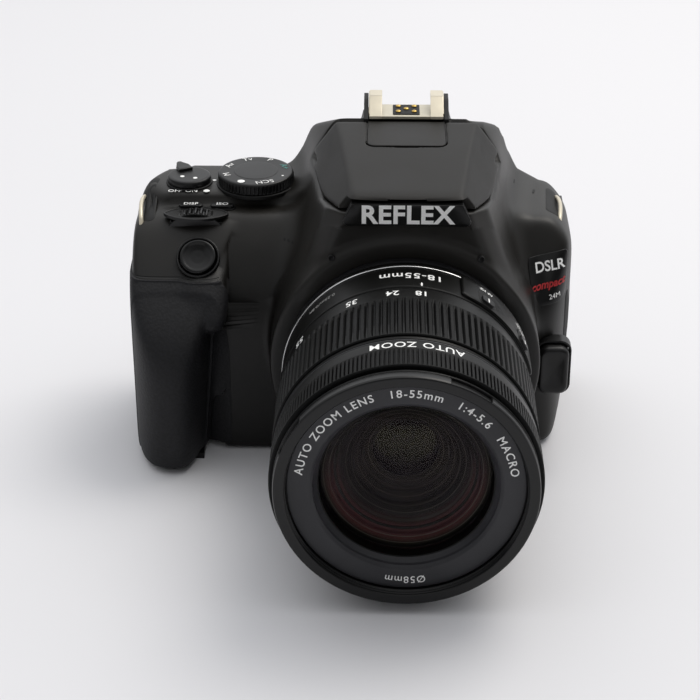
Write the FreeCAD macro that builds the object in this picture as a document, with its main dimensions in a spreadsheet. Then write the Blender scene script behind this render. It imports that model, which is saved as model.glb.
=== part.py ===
import FreeCAD, Part
import math
import os
from types import SimpleNamespace

import Sketcher

# A compact single-lens reflex camera with an 18-55 mm zoom lens, in millimetres.
# +Z is up, the lens points along -Y and the hand grip is at -X. The origin is the mouth
# of the tripod socket, straight under the lens axis, so Z = 0 is the base of the body.

Vec = FreeCAD.Vector
Turn = FreeCAD.Rotation
Place = FreeCAD.Placement

doc = FreeCAD.newDocument("reflex_camera")

# ---------------------------------------------------------------------------------------
# Driving dimensions
# ---------------------------------------------------------------------------------------

DIMENSIONS = {
    # the body's outside planes
    "body_left": -75.4, "body_right": 47.0, "body_top": 66.0, "deck_top": 69.2, "body_back": 31.0,
    "body_front": -14.0, "right_front": -12.0, "grip_front": -31.5, "grip_inner": -50.0,
    "wall": 2.0, "seam_height": 63.0, "grip_seam": 52.7, "base_plate": 2.0,
    "cover_split": 20.0, "rubber": 1.2, "slope_angle": 43.0, "slope_top": 64.0,
    # the lens mount and the hump over it
    "lens_height": 35.5, "flange": -30.0, "bulge_radius": 36.5, "bulge_front": -28.5,
    "throat_radius": 25.0, "mount_radius": 32.0, "mount_depth": 3.0,
    "deck": 77.0, "hump_top": 88.0, "hump_rear_top": 79.0, "hump_front": -27.0, "hump_back": 35.0,
    "hump_half": 27.0, "hump_foot": 30.0, "hump_crown": 20.0,
    # the flash head that lies on the hump, and the tongue it straddles
    "tongue_half": 10.7, "tongue_front": 0.6, "tongue_top": 87.6,
    "head_front": -28.0, "head_rear": 15.6, "head_skirt": 77.2, "head_wall": 1.6,
    "pivot_back": 12.0, "pivot_height": 84.0,
    "name_half": 16.6, "name_top": 82.9, "name_thick": 1.8,
    # the hot shoe
    "shoe_front": 17.5, "shoe_length": 17.5, "shoe_half": 10.4, "shoe_rise": 4.6,
    "shoe_slot_half": 6.6, "shoe_rail": 1.1, "shoe_base": 0.8,
    # the controls on top
    "dial_row": 17.0, "mode_across": -41.8, "mode_radius": 10.6, "mode_rise": 6.8,
    "power_across": -60.5, "power_radius": 6.0, "power_rise": 5.0, "button_row": 6.6,
    "display_across": -59.3, "iso_across": -50.6, "oblong_half": 3.3, "oblong_deep": 1.2,
    "oblong_rise": 0.9, "main_across": -57.5, "main_row": -0.2, "main_height": 57.2,
    "main_radius": 10.0, "main_wide": 4.4, "shutter_across": -56.3, "shutter_row": -8.5,
    "shutter_height": 57.6, "shutter_radius": 5.05, "running_gap": 0.3,
    # the lens, measured forward from the flange
    "barrel_radius": 32.6, "tube_outer": 30.0, "tube_inner": 28.5, "ring_bore": 30.3,
    "ring_radius": 33.25, "zoom_start": 16.3, "zoom_ribs": 23.0, "zoom_ribs_end": 42.5,
    "zoom_end": 43.5, "inner_tube": 28.2, "inner_bore": 26.5, "head_start": 44.2,
    "head_radius": 32.9, "focus_start": 49.6, "focus_end": 57.8, "front_start": 58.0,
    "lens_length": 61.8, "front_radius": 32.3, "filter_radius": 29.0, "glass_radius": 21.0,
    "thread_depth": 2.6,
    # the rear
    "screen_left": -24.0, "screen_low": 6.0, "screen_high": 55.0, "screen_depth": 4.3,
    "hinge_across": 43.5, "hinge_back": 33.3, "hinge_round": 2.1, "pin_radius": 0.8,
    "keys_across": -50.5, "keys_height": 26.0, "keys_radius": 11.0, "set_radius": 4.6,
    "small_button": 2.6, "cup_back": 38.0,
    # inside
    "sensor_plane": 14.0, "box_half": 20.0, "box_low": 14.0, "box_high": 57.0,
    "shutter_front": 9.5, "shutter_back": 13.5, "gate_half": 12.0, "gate_rise": 8.5,
    "mirror_length": 28.0, "mirror_half": 15.0, "mirror_back": 7.5, "mirror_height": 52.0,
    "bush_radius": 8.0, "socket_radius": 3.2, "bush_length": 7.0,
}


class Size(float):
    """A number that carries the sheet expression it was worked out from."""

    def __new__(cls, value, text=None):
        size = super().__new__(cls, value)
        size.text = text or f"{float(value):g}"
        return size

    def _with(self, sign, other, value):
        return Size(value, f"({self.text} {sign} {sized(other).text})")

    def __add__(self, other):
        return self._with("+", other, float(self) + float(other))

    def __radd__(self, other):
        return sized(other)._with("+", self, float(other) + float(self))

    def __sub__(self, other):
        return self._with("-", other, float(self) - float(other))

    def __rsub__(self, other):
        return sized(other)._with("-", self, float(other) - float(self))

    def __mul__(self, other):
        return self._with("*", other, float(self) * float(other))

    def __rmul__(self, other):
        return sized(other)._with("*", self, float(other) * float(self))

    def __truediv__(self, other):
        return self._with("/", other, float(self) / float(other))

    def __neg__(self):
        return Size(-float(self), f"(0 - {self.text})")


def sized(value):
    """Any number as a Size, so that the two kinds mix."""
    return value if isinstance(value, Size) else Size(value)


def is_bound(value):
    """True where a size was worked out from the sheet."""
    return isinstance(value, Size) and "dims." in value.text


def fill_sheet():
    """Write the driving dimensions to the sheet and return them as sizes."""
    sheet = doc.addObject("Spreadsheet::Sheet", "dims")
    for row, (name, value) in enumerate(DIMENSIONS.items(), start=1):
        sheet.set(f"A{row}", name)
        sheet.set(f"B{row}", str(value))
        sheet.setAlias(f"B{row}", name)
    doc.recompute()
    return SimpleNamespace(**{n: Size(v, "dims." + n) for n, v in DIMENSIONS.items()})


d = fill_sheet()
nodes = []

# ---------------------------------------------------------------------------------------
# Helpers: each makes one object of the document, with its sizes bound to the sheet
# ---------------------------------------------------------------------------------------

UP_AXIS = Vec(0, 0, 1)
FORWARD = (0, -1, 0)
BACKWARD = (0, 1, 0)
UP = (0, 0, 1)
PLANES = {
    "plan": Turn(),                          # outline in X, Y; depth along +Z
    "side": Turn(Vec(1, 1, 1), 120),         # outline in Y, Z; depth along +X
    "front": Turn(Vec(1, 0, 0), 90),         # outline in X, Z; depth along -Y
}


def bind(item, name, size):
    """Set a property and, where its size comes from the sheet, bind it there."""
    setattr(item, name, float(size))
    if is_bound(size):
        item.setExpression(name, size.text)


def place(item, at, turn=Turn()):
    """Put an object somewhere, with bound coordinates."""
    item.Placement = Place(Vec(*[float(size) for size in at]), turn)
    for axis, size in zip("xyz", at):
        if is_bound(size):
            item.setExpression(f"Placement.Base.{axis}", size.text)
    return item


def box(name, low, high):
    """A block between two opposite corners."""
    item = doc.addObject("Part::Box", name)
    for side, start, end in zip(("Length", "Width", "Height"), low, high):
        bind(item, side, sized(end) - start)
    return place(item, low)


def rod(name, start, direction, radius, length):
    """A cylinder that starts at a point and runs along a direction."""
    item = doc.addObject("Part::Cylinder", name)
    bind(item, "Radius", radius)
    bind(item, "Height", length)
    return place(item, start, Turn(Vec(0, 0, 1), Vec(*direction)))


def fuse(name, *pieces):
    item = doc.addObject("Part::MultiFuse", name)
    item.Shapes = list(pieces)
    item.Refine = True
    return item


def cut(name, base, *tools):
    """What is left of the base once every tool is taken away."""
    item = doc.addObject("Part::Cut", name)
    item.Base = base
    item.Tool = tools[0] if len(tools) == 1 else fuse(name + "_tools", *tools)
    item.Refine = True
    return item


def common(name, first, second):
    item = doc.addObject("Part::Common", name)
    item.Base = first
    item.Tool = second
    item.Refine = True
    return item


def group(name, pieces):
    """Separate solids that share one node."""
    item = doc.addObject("Part::Compound", name)
    item.Links = list(pieces)
    return item


def outline_sketch(body, name, points):
    """A closed outline of straight edges; each corner is held by its two distances."""
    plane = next(o for o in body.Origin.OriginFeatures if o.Role == "XY_Plane")
    sketch = body.newObject("Sketcher::SketchObject", name)
    sketch.AttachmentSupport = [(plane, "")]
    sketch.MapMode = "FlatFace"
    corners = [Vec(float(u), float(v), 0) for u, v in points]
    count = len(corners)
    for index, corner in enumerate(corners):
        sketch.addGeometry(Part.LineSegment(corner, corners[(index + 1) % count]), False)
    for index in range(count):
        sketch.addConstraint(Sketcher.Constraint("Coincident", index, 2, (index + 1) % count, 1))
    for index, point in enumerate(points):
        for kind, size in zip(("DistanceX", "DistanceY"), point):
            held = sketch.addConstraint(Sketcher.Constraint(kind, -1, 1, index, 1, float(size)))
            if is_bound(size):
                sketch.setExpression(f"Constraints[{held}]", size.text)
    return sketch


def padded(name, points, depth, plane="plan", at=(0, 0, 0), lean=0.0):
    """An outline in one of the three planes, given a depth square to it.

    A piece that leans is turned about the X axis through its own origin.
    """
    body = doc.addObject("PartDesign::Body", name)
    pad = body.newObject("PartDesign::Pad", name + "_pad")
    pad.Profile = outline_sketch(body, name + "_outline", points)
    bind(pad, "Length", depth)
    return place(body, at, Turn(Vec(1, 0, 0), lean).multiply(PLANES[plane]))


def rectangle(low, high):
    """The four corners of an upright rectangle, for an outline."""
    return [(low[0], low[1]), (high[0], low[1]), (high[0], high[1]), (low[0], high[1])]


def turned(name, profile, at, direction, sweep=360.0, roll=0.0):
    """A profile of (radius, distance along the axis) points, turned about that axis."""
    body = doc.addObject("PartDesign::Body", name)
    sketch = outline_sketch(body, name + "_profile", profile)
    turning = body.newObject("PartDesign::Revolution", name + "_turning")
    turning.Profile = sketch
    turning.ReferenceAxis = (sketch, ["V_Axis"])
    turning.Angle = sweep
    lie = Turn(Vec(0, 1, 0), Vec(*direction)) if direction != FORWARD else Turn(UP_AXIS, 180)
    return place(body, at, lie.multiply(Turn(Vec(0, 1, 0), roll)))


def grooves(body, count, radius, width, depth, start, end):
    """Cut evenly spaced straight grooves into a turned body's rim."""
    name = body.Name
    rim = [(radius - depth, start), (radius + 1, start), (radius + 1, end), (radius - depth, end)]
    pocket = body.newObject("PartDesign::Pocket", name + "_groove")
    pocket.Profile = outline_sketch(body, name + "_groove_outline", rim)
    pocket.SideType = "Symmetric"
    bind(pocket, "Length", width)
    axis = next(o for o in body.Origin.OriginFeatures if o.Role == "Y_Axis")
    pattern = body.newObject("PartDesign::PolarPattern", name + "_grooves")
    pattern.Originals = [pocket]
    pattern.Axis = (axis, [""])
    pattern.Angle = 360
    pattern.Occurrences = count
    body.Tip = pattern


def node(item):
    """Count an object as a finished sub-part; its label names its file."""
    item.Label = item.Name
    nodes.append(item)
    return item


# ---------------------------------------------------------------------------------------
# The outside form, once at full size and once smaller by a wall, as the body's hollow
# ---------------------------------------------------------------------------------------

def grip_form(name, inset):
    """The hand grip: a side outline and a plan outline, crossed."""
    low = 0 - inset
    side = padded(name + "_side", [
        (d.body_back - inset, low),
        (d.body_back - inset, d.body_top - inset),
        (1 + inset, d.body_top - inset),
        (-1.5 + inset, d.slope_top - inset / 2),
        (-25.5 + inset, 42 - inset / 2),
        (d.grip_front + 1 + inset, 32 - inset / 2),
        (d.grip_front + inset, 22),
        (d.grip_front + 1 + inset, 8),
        (-28 + inset, low),
    ], d.grip_inner - d.body_left, "side", (d.body_left, 0, 0))
    plan = padded(name + "_plan", [
        (d.body_left + inset, d.body_back - inset),
        (d.body_left + inset, -18),
        (-70 + inset, -28 + inset),
        (-64 + inset / 3, d.grip_front + inset),
        (-60 - inset / 3, d.grip_front + inset),
        (-56 - inset, -27 + inset),
        (-53 - inset, d.body_front + inset),
        (d.grip_inner, d.body_front + inset),
        (d.grip_inner, d.body_back - inset),
    ], d.body_top + 10, "plan", (0, 0, -5))
    return common(name, side, plan)


def hump_form(name, inset):
    """The hump over the mirror: low in front, where the flash head lies, high behind."""
    side = padded(name + "_side", [
        (d.hump_front + inset, 50),
        (d.hump_front + inset, d.deck - inset),
        (d.shoe_front + inset, d.deck - inset),
        (d.shoe_front + inset, d.hump_top - inset),
        (d.hump_back - inset, d.hump_rear_top - inset),
        (d.hump_back - inset, d.body_top - 3),
        (d.body_back - inset, d.body_top - 7),
        (d.body_back - inset, 50),
    ], 80, "side", (-40, 0, 0))
    front = padded(name + "_front", [
        (-d.hump_foot + inset, 62),
        (-d.hump_foot + inset, d.body_top),
        (-d.hump_half + inset, d.deck),
        (-d.hump_crown + inset, d.hump_top),
        (d.hump_crown - inset, d.hump_top),
        (d.hump_half - inset, d.deck),
        (d.hump_foot - inset, d.body_top),
        (d.hump_foot - inset, 62),
    ], 80, "front", (0, 40, 0))
    tongue = box(name + "_tongue",
                 (-d.tongue_half + inset, d.tongue_front + inset, d.deck - 6),
                 (d.tongue_half - inset, d.shoe_front + 3, d.tongue_top - inset))
    seat = box(name + "_shoe_seat", (-12.2 + inset, d.shoe_front + inset, d.deck),
               (12.2 - inset, d.hump_back - 1.5 - inset, d.hump_top - inset))
    return fuse(name, common(name + "_block", side, front), tongue, seat)


def body_form(name, inset):
    """The whole outside of the body, smaller all round by the inset."""
    low = 0 - inset
    left = padded(name + "_left", [
        (d.body_front + inset, low),
        (d.body_back - inset, low),
        (d.body_back - inset, d.body_top - inset),
        (d.body_front + 10, d.body_top - inset),
        (d.body_front + inset, d.body_top - 8 - inset),
    ], -d.grip_inner + 4, "side", (d.grip_inner - 2, 0, 0))
    right = padded(name + "_right", [
        (d.right_front + 3 + inset, low),
        (d.body_back - inset, low),
        (d.body_back - inset, d.body_top - inset),
        (1 + inset, d.body_top - inset),
        (d.right_front + inset, 42),
        (d.right_front + inset, 20),
    ], d.body_right - inset, "side", (0, 0, 0))
    deck = padded(name + "_deck", [
        (-71.5 + inset, 8.6 + inset),
        (-26 - inset, 8.6 + inset),
        (-26 - inset, d.body_back - inset),
        (-66 + inset, d.body_back - inset),
        (-71.5 + inset, 22),
    ], d.deck_top - inset - 60, "plan", (0, 0, 60))
    bulge = rod(name + "_bulge", (0, d.bulge_front + inset, d.lens_height), BACKWARD,
                d.bulge_radius - inset, 0 - d.bulge_front)
    return fuse(name, left, right, grip_form(name + "_grip", inset), deck, bulge,
                hump_form(name + "_hump", inset))


# ---------------------------------------------------------------------------------------
# Openings that the covers need
# ---------------------------------------------------------------------------------------

slope = math.radians(float(d.slope_angle))
SLOPE_OUT = (0, -math.sin(slope), math.cos(slope))
REAR_BUTTONS = {
    # name: (distance across, height) on the back
    "menu_button": (38.0, 59.2),
    "info_button": (28.0, 59.2),
    "live_view_button": (-32.0, 56.5),
    "playback_button": (-43.0, 9.0),
}
PORT_COVERS = {
    # name: (outside plane, inward direction, front edge, rear edge, low, high)
    "port_cover_left": (d.body_right, -1, -4.0, 11.0, 24.0, 46.0),
    "port_cover_right": (d.body_left, 1, 8.0, 19.0, 16.0, 38.0),
}
DOOR = SimpleNamespace(left=-72.0, right=-55.5, front=-19.0, back=17.0)


def top_openings():
    """Holes in the top cover for stems, buttons, the finger dial and the eyepiece."""
    gap = d.running_gap
    mode = rod("mode_hole", (d.mode_across, d.dial_row, 60), UP, 4 + gap, 10)
    power = rod("power_hole", (d.power_across, d.dial_row, 60), UP, 3 + gap, 10)
    slot = box("main_slot", (d.main_across - 9, d.main_row - 0.5, 60),
               (d.main_across + 9, d.main_row + d.main_wide + 0.5, 70))
    holes = [mode, power, slot]
    for name, across in (("display", d.display_across), ("iso", d.iso_across)):
        holes.append(box(name + "_hole",
                         (across - d.oblong_half - gap, d.button_row - d.oblong_deep - gap, 60),
                         (across + d.oblong_half + gap, d.button_row + d.oblong_deep + gap, 70)))
    back_off = 7.0
    start = (d.shutter_across, d.shutter_row - back_off * SLOPE_OUT[1],
             d.shutter_height - back_off * SLOPE_OUT[2])
    holes.append(rod("shutter_hole", start, SLOPE_OUT, d.shutter_radius + gap, 12))
    holes.append(box("eyepiece_hole", (-10, d.hump_back - 4, 66.5), (10, d.hump_back + 1, 75.5)))
    holes.append(box("dioptre_slot", (-25.8, 28, 73.6), (-17.0, 40, 77.4)))
    holes.append(rod("mount_bore_above", (0, -40, d.lens_height), BACKWARD, d.mount_radius, 18))
    holes.append(rod("flash_pin_hole", (-12, d.pivot_back, d.pivot_height), (1, 0, 0),
                     d.pin_radius, 24))
    return holes


def rear_openings():
    """Holes in the rear cover for the keys and buttons."""
    gap = d.running_gap
    holes = [rod("keys_hole", (d.keys_across, 27, d.keys_height), BACKWARD,
                 d.keys_radius + gap, 6)]
    for name, (across, height) in REAR_BUTTONS.items():
        holes.append(rod(name + "_hole", (across, 27, height), BACKWARD,
                         d.small_button + gap, 6))
    return holes


def port_opening(name):
    """The hole that a port cover closes."""
    plane, inward, front, rear, low, high = PORT_COVERS[name]
    reach = sorted((plane + 1 * -inward, plane + 3.5 * inward))
    return box(name + "_hole", (reach[0], front, low), (reach[1], rear, high))


def make_covers():
    """The four plastic covers, cut from one hollow form, and the rubber on the grip."""
    outer = body_form("outer_form", 0)
    walls_of_pockets = [strap_pocket(name, 1.5) for name in STRAP_POCKETS]
    spaces_of_pockets = [strap_pocket(name, 0) for name in STRAP_POCKETS]
    inner = cut("inner_space", body_form("inner_form", d.wall), *walls_of_pockets)
    hollow = cut("hollow_form", outer, inner, *spaces_of_pockets)
    everywhere = 120
    above = box("above_seam", (-everywhere, -everywhere, d.seam_height),
                (everywhere, everywhere, everywhere))
    above_grip = box("above_grip_seam", (-everywhere, -everywhere, d.grip_seam),
                     (d.grip_inner, d.cover_split, everywhere))
    top_region = fuse("top_region", above, above_grip)
    base_region = box("base_region", (-everywhere, -everywhere, 0),
                      (everywhere, everywhere, d.base_plate))
    under = box("under_base", (-everywhere, -everywhere, -50), (everywhere, everywhere, 0))
    rear_region = box("rear_region", (-everywhere, d.cover_split, -60),
                      (everywhere, everywhere, everywhere))
    walls = cut("wall_form", hollow, top_region, base_region, under)

    name_wall = box("name_wall", (-d.name_half, d.head_front, d.deck - 1),
                    (d.name_half, d.head_front + d.name_thick, d.name_top))
    node(cut("top_cover", fuse("top_blank", common("top_shell", hollow, top_region), name_wall),
             *top_openings()))
    node(cut("rear_cover", common("rear_blank", walls, rear_region), *rear_openings()))

    skin = cut("grip_skin", grip_form("grip_outside", 0), grip_form("grip_core", d.rubber))
    wrap = box("grip_wrap", (-90, -50, d.base_plate), (d.grip_inner - 1, 7, d.grip_seam))
    rubber = node(common("grip_rubber", skin, wrap))

    bore = rod("mount_bore", (0, -40, d.lens_height), BACKWARD, d.mount_radius, 18)
    release = padded("release_hole", release_outline(0.3), 14, "front", (0, -6, 0))
    front_blank = cut("front_blank", walls, rear_region)
    node(cut("front_cover", front_blank, rubber, bore, release,
             port_opening("port_cover_left"), port_opening("port_cover_right")))

    door = box("door_hole", (DOOR.left, DOOR.front, -1), (DOOR.right, DOOR.back, 4))
    bush = rod("bush_hole", (0, 0, -1), UP, d.bush_radius, 5)
    screws = [rod(f"base_screw_hole_{index}", (across, along, -1), UP, 1.6, 5)
              for index, (across, along) in enumerate(BASE_SCREWS)]
    node(cut("bottom_cover", common("base_blank", outer, base_region), door, bush, *screws))


BASE_SCREWS = [(-40, 24), (-40, -8), (40, 24), (38, -3), (10, 25), (-68, 24)]

# ---------------------------------------------------------------------------------------
# Fixed pieces outside
# ---------------------------------------------------------------------------------------

def make_mount():
    """The steel ring the lens locks into, its four screws, and the mirror box behind it."""
    at = (0, d.flange, d.lens_height)
    ring = turned("mount_ring_blank", [
        (d.throat_radius, -d.mount_depth), (d.mount_radius, -d.mount_depth),
        (d.mount_radius, 0), (d.throat_radius, 0)], at, FORWARD)
    screw_circle = 28.5
    places = [(screw_circle * math.cos(math.radians(45 + 90 * turn)),
               screw_circle * math.sin(math.radians(45 + 90 * turn))) for turn in range(4)]
    holes = [rod(f"mount_screw_hole_{index}",
                 (across, d.flange - 1, d.lens_height + up), BACKWARD, 1.4, 5)
             for index, (across, up) in enumerate(places)]
    node(cut("mount_ring", ring, *holes))
    node(group("mount_screws", [
        rod(f"mount_screw_{index}", (across, d.flange + 0.4, d.lens_height + up), BACKWARD,
            1.4, d.mount_depth - 0.4)
        for index, (across, up) in enumerate(places)]))

    back_of_ring = d.flange + d.mount_depth
    flange_plate = rod("mirror_box_flange", (0, back_of_ring, d.lens_height), BACKWARD, 31, 3)
    block = box("mirror_box_block", (-d.box_half, back_of_ring + 3, d.box_low),
                (d.box_half, d.shutter_front, d.box_high))
    hollow = box("mirror_box_hollow", (-d.box_half + 2.5, -23, d.box_low + 2.5),
                 (d.box_half - 2.5, d.shutter_front + 1, d.box_high + 1))
    bore = rod("mirror_box_bore", (0, -28, d.lens_height), BACKWARD, d.throat_radius + 0.2, 5)
    node(cut("mirror_box", fuse("mirror_box_solid", flange_plate, block), hollow, bore))


def make_shoe():
    """The steel accessory shoe and the black insert with its contacts."""
    base_top = d.hump_top + d.shoe_base
    top = d.hump_top + d.shoe_rise
    rear = d.shoe_front + d.shoe_length - 1.5
    slab = box("shoe_slab", (-d.shoe_half, d.shoe_front, d.hump_top), (d.shoe_half, rear, top))
    slot = box("shoe_slot", (-d.shoe_half + d.shoe_rail, d.shoe_front + 1.5, base_top),
               (d.shoe_half - d.shoe_rail, rear + 1, top - 1.4))
    mouth = box("shoe_mouth", (-d.shoe_slot_half, d.shoe_front - 1, base_top),
                (d.shoe_slot_half, rear + 1, top + 1))
    window = box("shoe_window", (-5.5, d.shoe_front + 4, d.hump_top - 1),
                 (5.5, rear - 3, base_top + 0.5))
    node(cut("hot_shoe", slab, slot, mouth, window))
    node(box("shoe_insert", (-5.5, d.shoe_front + 4, d.hump_top), (5.5, rear - 3, base_top)))


def make_eyepiece():
    """The rubber cup round the viewfinder window, and the window's glass."""
    back = d.hump_back
    cup = box("eyecup_solid", (-17, back, 63.8), (17, d.cup_back, 78.6))
    opening = box("eyecup_opening", (-9.5, back - 1, 67), (9.5, d.cup_back + 1, 75))
    node(cut("eyecup", cup, opening))
    node(box("eyepiece_lens", (-10, back - 2.5, 66.5), (10, back - 0.5, 75.5)))


STRAP_POCKETS = {
    # name: (inner wall, outer side, front end, rear end) of the pocket the strap goes through
    "left_pocket": (-69.5, -76.0, 2.0, 14.0),
    "right_pocket": (41.0, 48.0, 4.0, 15.0),
}
POCKET_FLOOR = 61.5


def strap_pocket(name, spare):
    """A pocket in the shoulder for the strap, larger all round by the spare."""
    inner, outer, front, rear = STRAP_POCKETS[name]
    inward = -1 if outer > 0 else 1
    across = sorted((inner + inward * spare, outer))
    return box(f"{name}_{'walls' if spare else 'space'}",
               (across[0], front - spare, POCKET_FLOOR - spare), (across[1], rear + spare, 70))


def strap_bar(name):
    """The steel bar across the pocket's outer side."""
    inner, outer, front, rear = STRAP_POCKETS[name]
    edge = float(d.body_right if outer > 0 else d.body_left)
    outward = 1 if outer > 0 else -1
    across = sorted((edge - outward * 0.4, edge - outward * 1.8))
    return box(name + "_bar", (across[0], front, 64.0), (across[1], rear, 65.4))


def make_trim():
    """Badge, thumb rest, strap lugs, tripod bush and base screws."""
    shoulder_lean = math.degrees(math.atan2(24, 13))
    node(padded("badge_plate", rectangle((-5.5, -4.5), (5.5, 4.5)), 0.5, "plan",
                (38.5, -5.4, 54.7), shoulder_lean))
    node(box("thumb_rest", (-72.5, d.body_back, 33), (-61, d.body_back + 2.2, 53)))
    node(group("strap_lugs", [strap_bar(name) for name in STRAP_POCKETS]))
    bush = turned("tripod_bush", [
        (d.socket_radius, 0), (d.bush_radius, 0), (d.bush_radius, d.bush_length),
        (d.socket_radius, d.bush_length)], (0, 0, 0), UP)
    node(bush)
    node(group("base_screws", [
        rod(f"base_screw_{index}", (across, along, 0.2), UP, 1.6, d.base_plate - 0.2)
        for index, (across, along) in enumerate(BASE_SCREWS)]))


# ---------------------------------------------------------------------------------------
# Fixed pieces inside
# ---------------------------------------------------------------------------------------

def make_insides():
    """Sensor, shutter frame, pentamirror, circuit board and battery."""
    middle = d.lens_height
    node(box("image_sensor", (-15, d.sensor_plane, middle - 12), (15, 17, middle + 12)))
    frame = box("shutter_block", (-d.box_half, d.shutter_front, 8),
                (d.box_half, d.shutter_back, 54))
    gate = box("shutter_gate", (-d.gate_half, 5, middle - d.gate_rise),
               (d.gate_half, 20, middle + d.gate_rise))
    slot = box("curtain_slot", (-14, 10.5, 9.5), (14, 12.5, middle + 10))
    node(cut("shutter_frame", frame, gate, slot))
    roof = padded("pentamirror", [
        (-16, d.box_high + 2), (-13, 70), (0, 74.5), (13, 70), (16, d.box_high + 2)],
        26, "front", (0, 15, 0))
    node(roof)
    board = box("board_slab", (-44, 18, 5), (42, 19.6, 60))
    node(board)
    board.Label = "main_board"
    node(box("battery", (-71.5, -17, 3), (-57.5, 15, 38)))


# ---------------------------------------------------------------------------------------
# Controls
# ---------------------------------------------------------------------------------------

def make_dials():
    """The mode dial, the power switch and the finger dial."""
    rise = d.deck_top + d.running_gap
    top = d.body_top + d.mode_rise
    mode = turned("mode_dial", [
        (0, 62.5), (4, 62.5), (4, rise), (d.mode_radius, rise),
        (d.mode_radius, top - 0.8), (d.mode_radius - 0.8, top), (0, top)],
        (d.mode_across, d.dial_row, 0), UP)
    grooves(mode, 48, d.mode_radius, 0.7, 0.4, rise + 0.4, top - 1.0)
    node(mode)

    power_top = d.body_top + d.power_rise
    knob = turned("power_knob", [
        (0, 62.5), (3, 62.5), (3, rise), (d.power_radius, rise),
        (d.power_radius, power_top - 0.7), (d.power_radius - 0.7, power_top), (0, power_top)],
        (d.power_across, d.dial_row, 0), UP)
    lever = box("power_lever", (0, -1.5, 0), (9, 1.5, 2.0))
    place(lever, (d.power_across + 1.06, d.dial_row + 1.06, rise + 0.2), Turn(UP_AXIS, 135))
    node(fuse("power_switch", knob, lever))

    wheel = turned("main_dial", [
        (0, -2), (1.5, -2), (1.5, 0), (d.main_radius, 0), (d.main_radius, d.main_wide),
        (1.5, d.main_wide), (1.5, d.main_wide + 2), (0, d.main_wide + 2)],
        (d.main_across, d.main_row, d.main_height), BACKWARD)
    grooves(wheel, 40, d.main_radius, 0.8, 0.5, -0.5, d.main_wide + 0.5)
    node(wheel)


RELEASE = SimpleNamespace(left=37.0, right=45.2, low=20.0, high=34.5, corner=1.6)


def release_outline(spare):
    """The lens release button seen from the front, larger all round by the spare."""
    left, right = RELEASE.left - spare, RELEASE.right + spare
    low, high, corner = RELEASE.low - spare, RELEASE.high + spare, RELEASE.corner
    return [(left + corner, low), (right - corner, low), (right, low + corner),
            (right, high - corner), (right - corner, high), (left + corner, high),
            (left, high - corner), (left, low + corner)]


def make_buttons():
    """Every push button: each is a cap that slides in its own hole."""
    node(turned("shutter_button", [
        (0, -2.4), (d.shutter_radius, -2.4), (d.shutter_radius, 0.9),
        (d.shutter_radius - 0.5, 1.3), (0, 1.0)],
        (d.shutter_across, d.shutter_row, d.shutter_height), SLOPE_OUT))
    for name, across in (("display_button", d.display_across), ("iso_button", d.iso_across)):
        node(box(name, (across - d.oblong_half, d.button_row - d.oblong_deep, 62.8),
                 (across + d.oblong_half, d.button_row + d.oblong_deep,
                  d.body_top + d.oblong_rise)))
    node(padded("lens_release_button", release_outline(0), 8, "front", (0, -8, 0)))
    for name, (across, height) in REAR_BUTTONS.items():
        node(turned(name, [
            (0, 0), (d.small_button, 0), (d.small_button, 3.9),
            (d.small_button - 0.4, 4.3), (0, 4.3)], (across, 27.8, height), BACKWARD))
    at = (d.keys_across, 28.6, d.keys_height)
    node(turned("cross_keys", [
        (d.set_radius + 0.4, 0), (d.keys_radius, 0), (d.keys_radius, 3.4),
        (d.keys_radius - 0.8, 4.2), (d.set_radius + 0.4, 3.6)], at, BACKWARD))
    node(turned("set_button", [
        (0, 0), (d.set_radius, 0), (d.set_radius, 4.0), (d.set_radius - 0.5, 4.5), (0, 4.5)],
        at, BACKWARD))
    dioptre = turned("dioptre_wheel", [(0, 74), (4, 74), (4, 77), (0, 77)], (-21.4, 32.8, 0), UP)
    grooves(dioptre, 20, 4, 0.5, 0.3, 73.5, 77.5)
    node(dioptre)


# ---------------------------------------------------------------------------------------
# The flash head
# ---------------------------------------------------------------------------------------

def head_form(name, inset):
    """The flash head's outside: crossed side and front outlines."""
    side = padded(name + "_side", [
        (d.head_front + inset, d.head_skirt + inset),
        (d.head_front + inset, 84.3 - inset),
        (0, 87.2 - inset),
        (d.head_rear - inset, d.hump_top - inset),
        (d.head_rear - inset, 79.5 + inset),
        (8 - inset, 79.5 + inset),
        (8 - inset, d.head_skirt + inset),
    ], 80, "side", (-40, 0, 0))
    front = padded(name + "_front", [
        (-26.5 + inset, 70), (-26.5 + inset, d.deck), (-21 + inset, 92),
        (21 - inset, 92), (26.5 - inset, d.deck), (26.5 - inset, 70),
    ], 80, "front", (0, 40, 0))
    return common(name, side, front)


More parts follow.
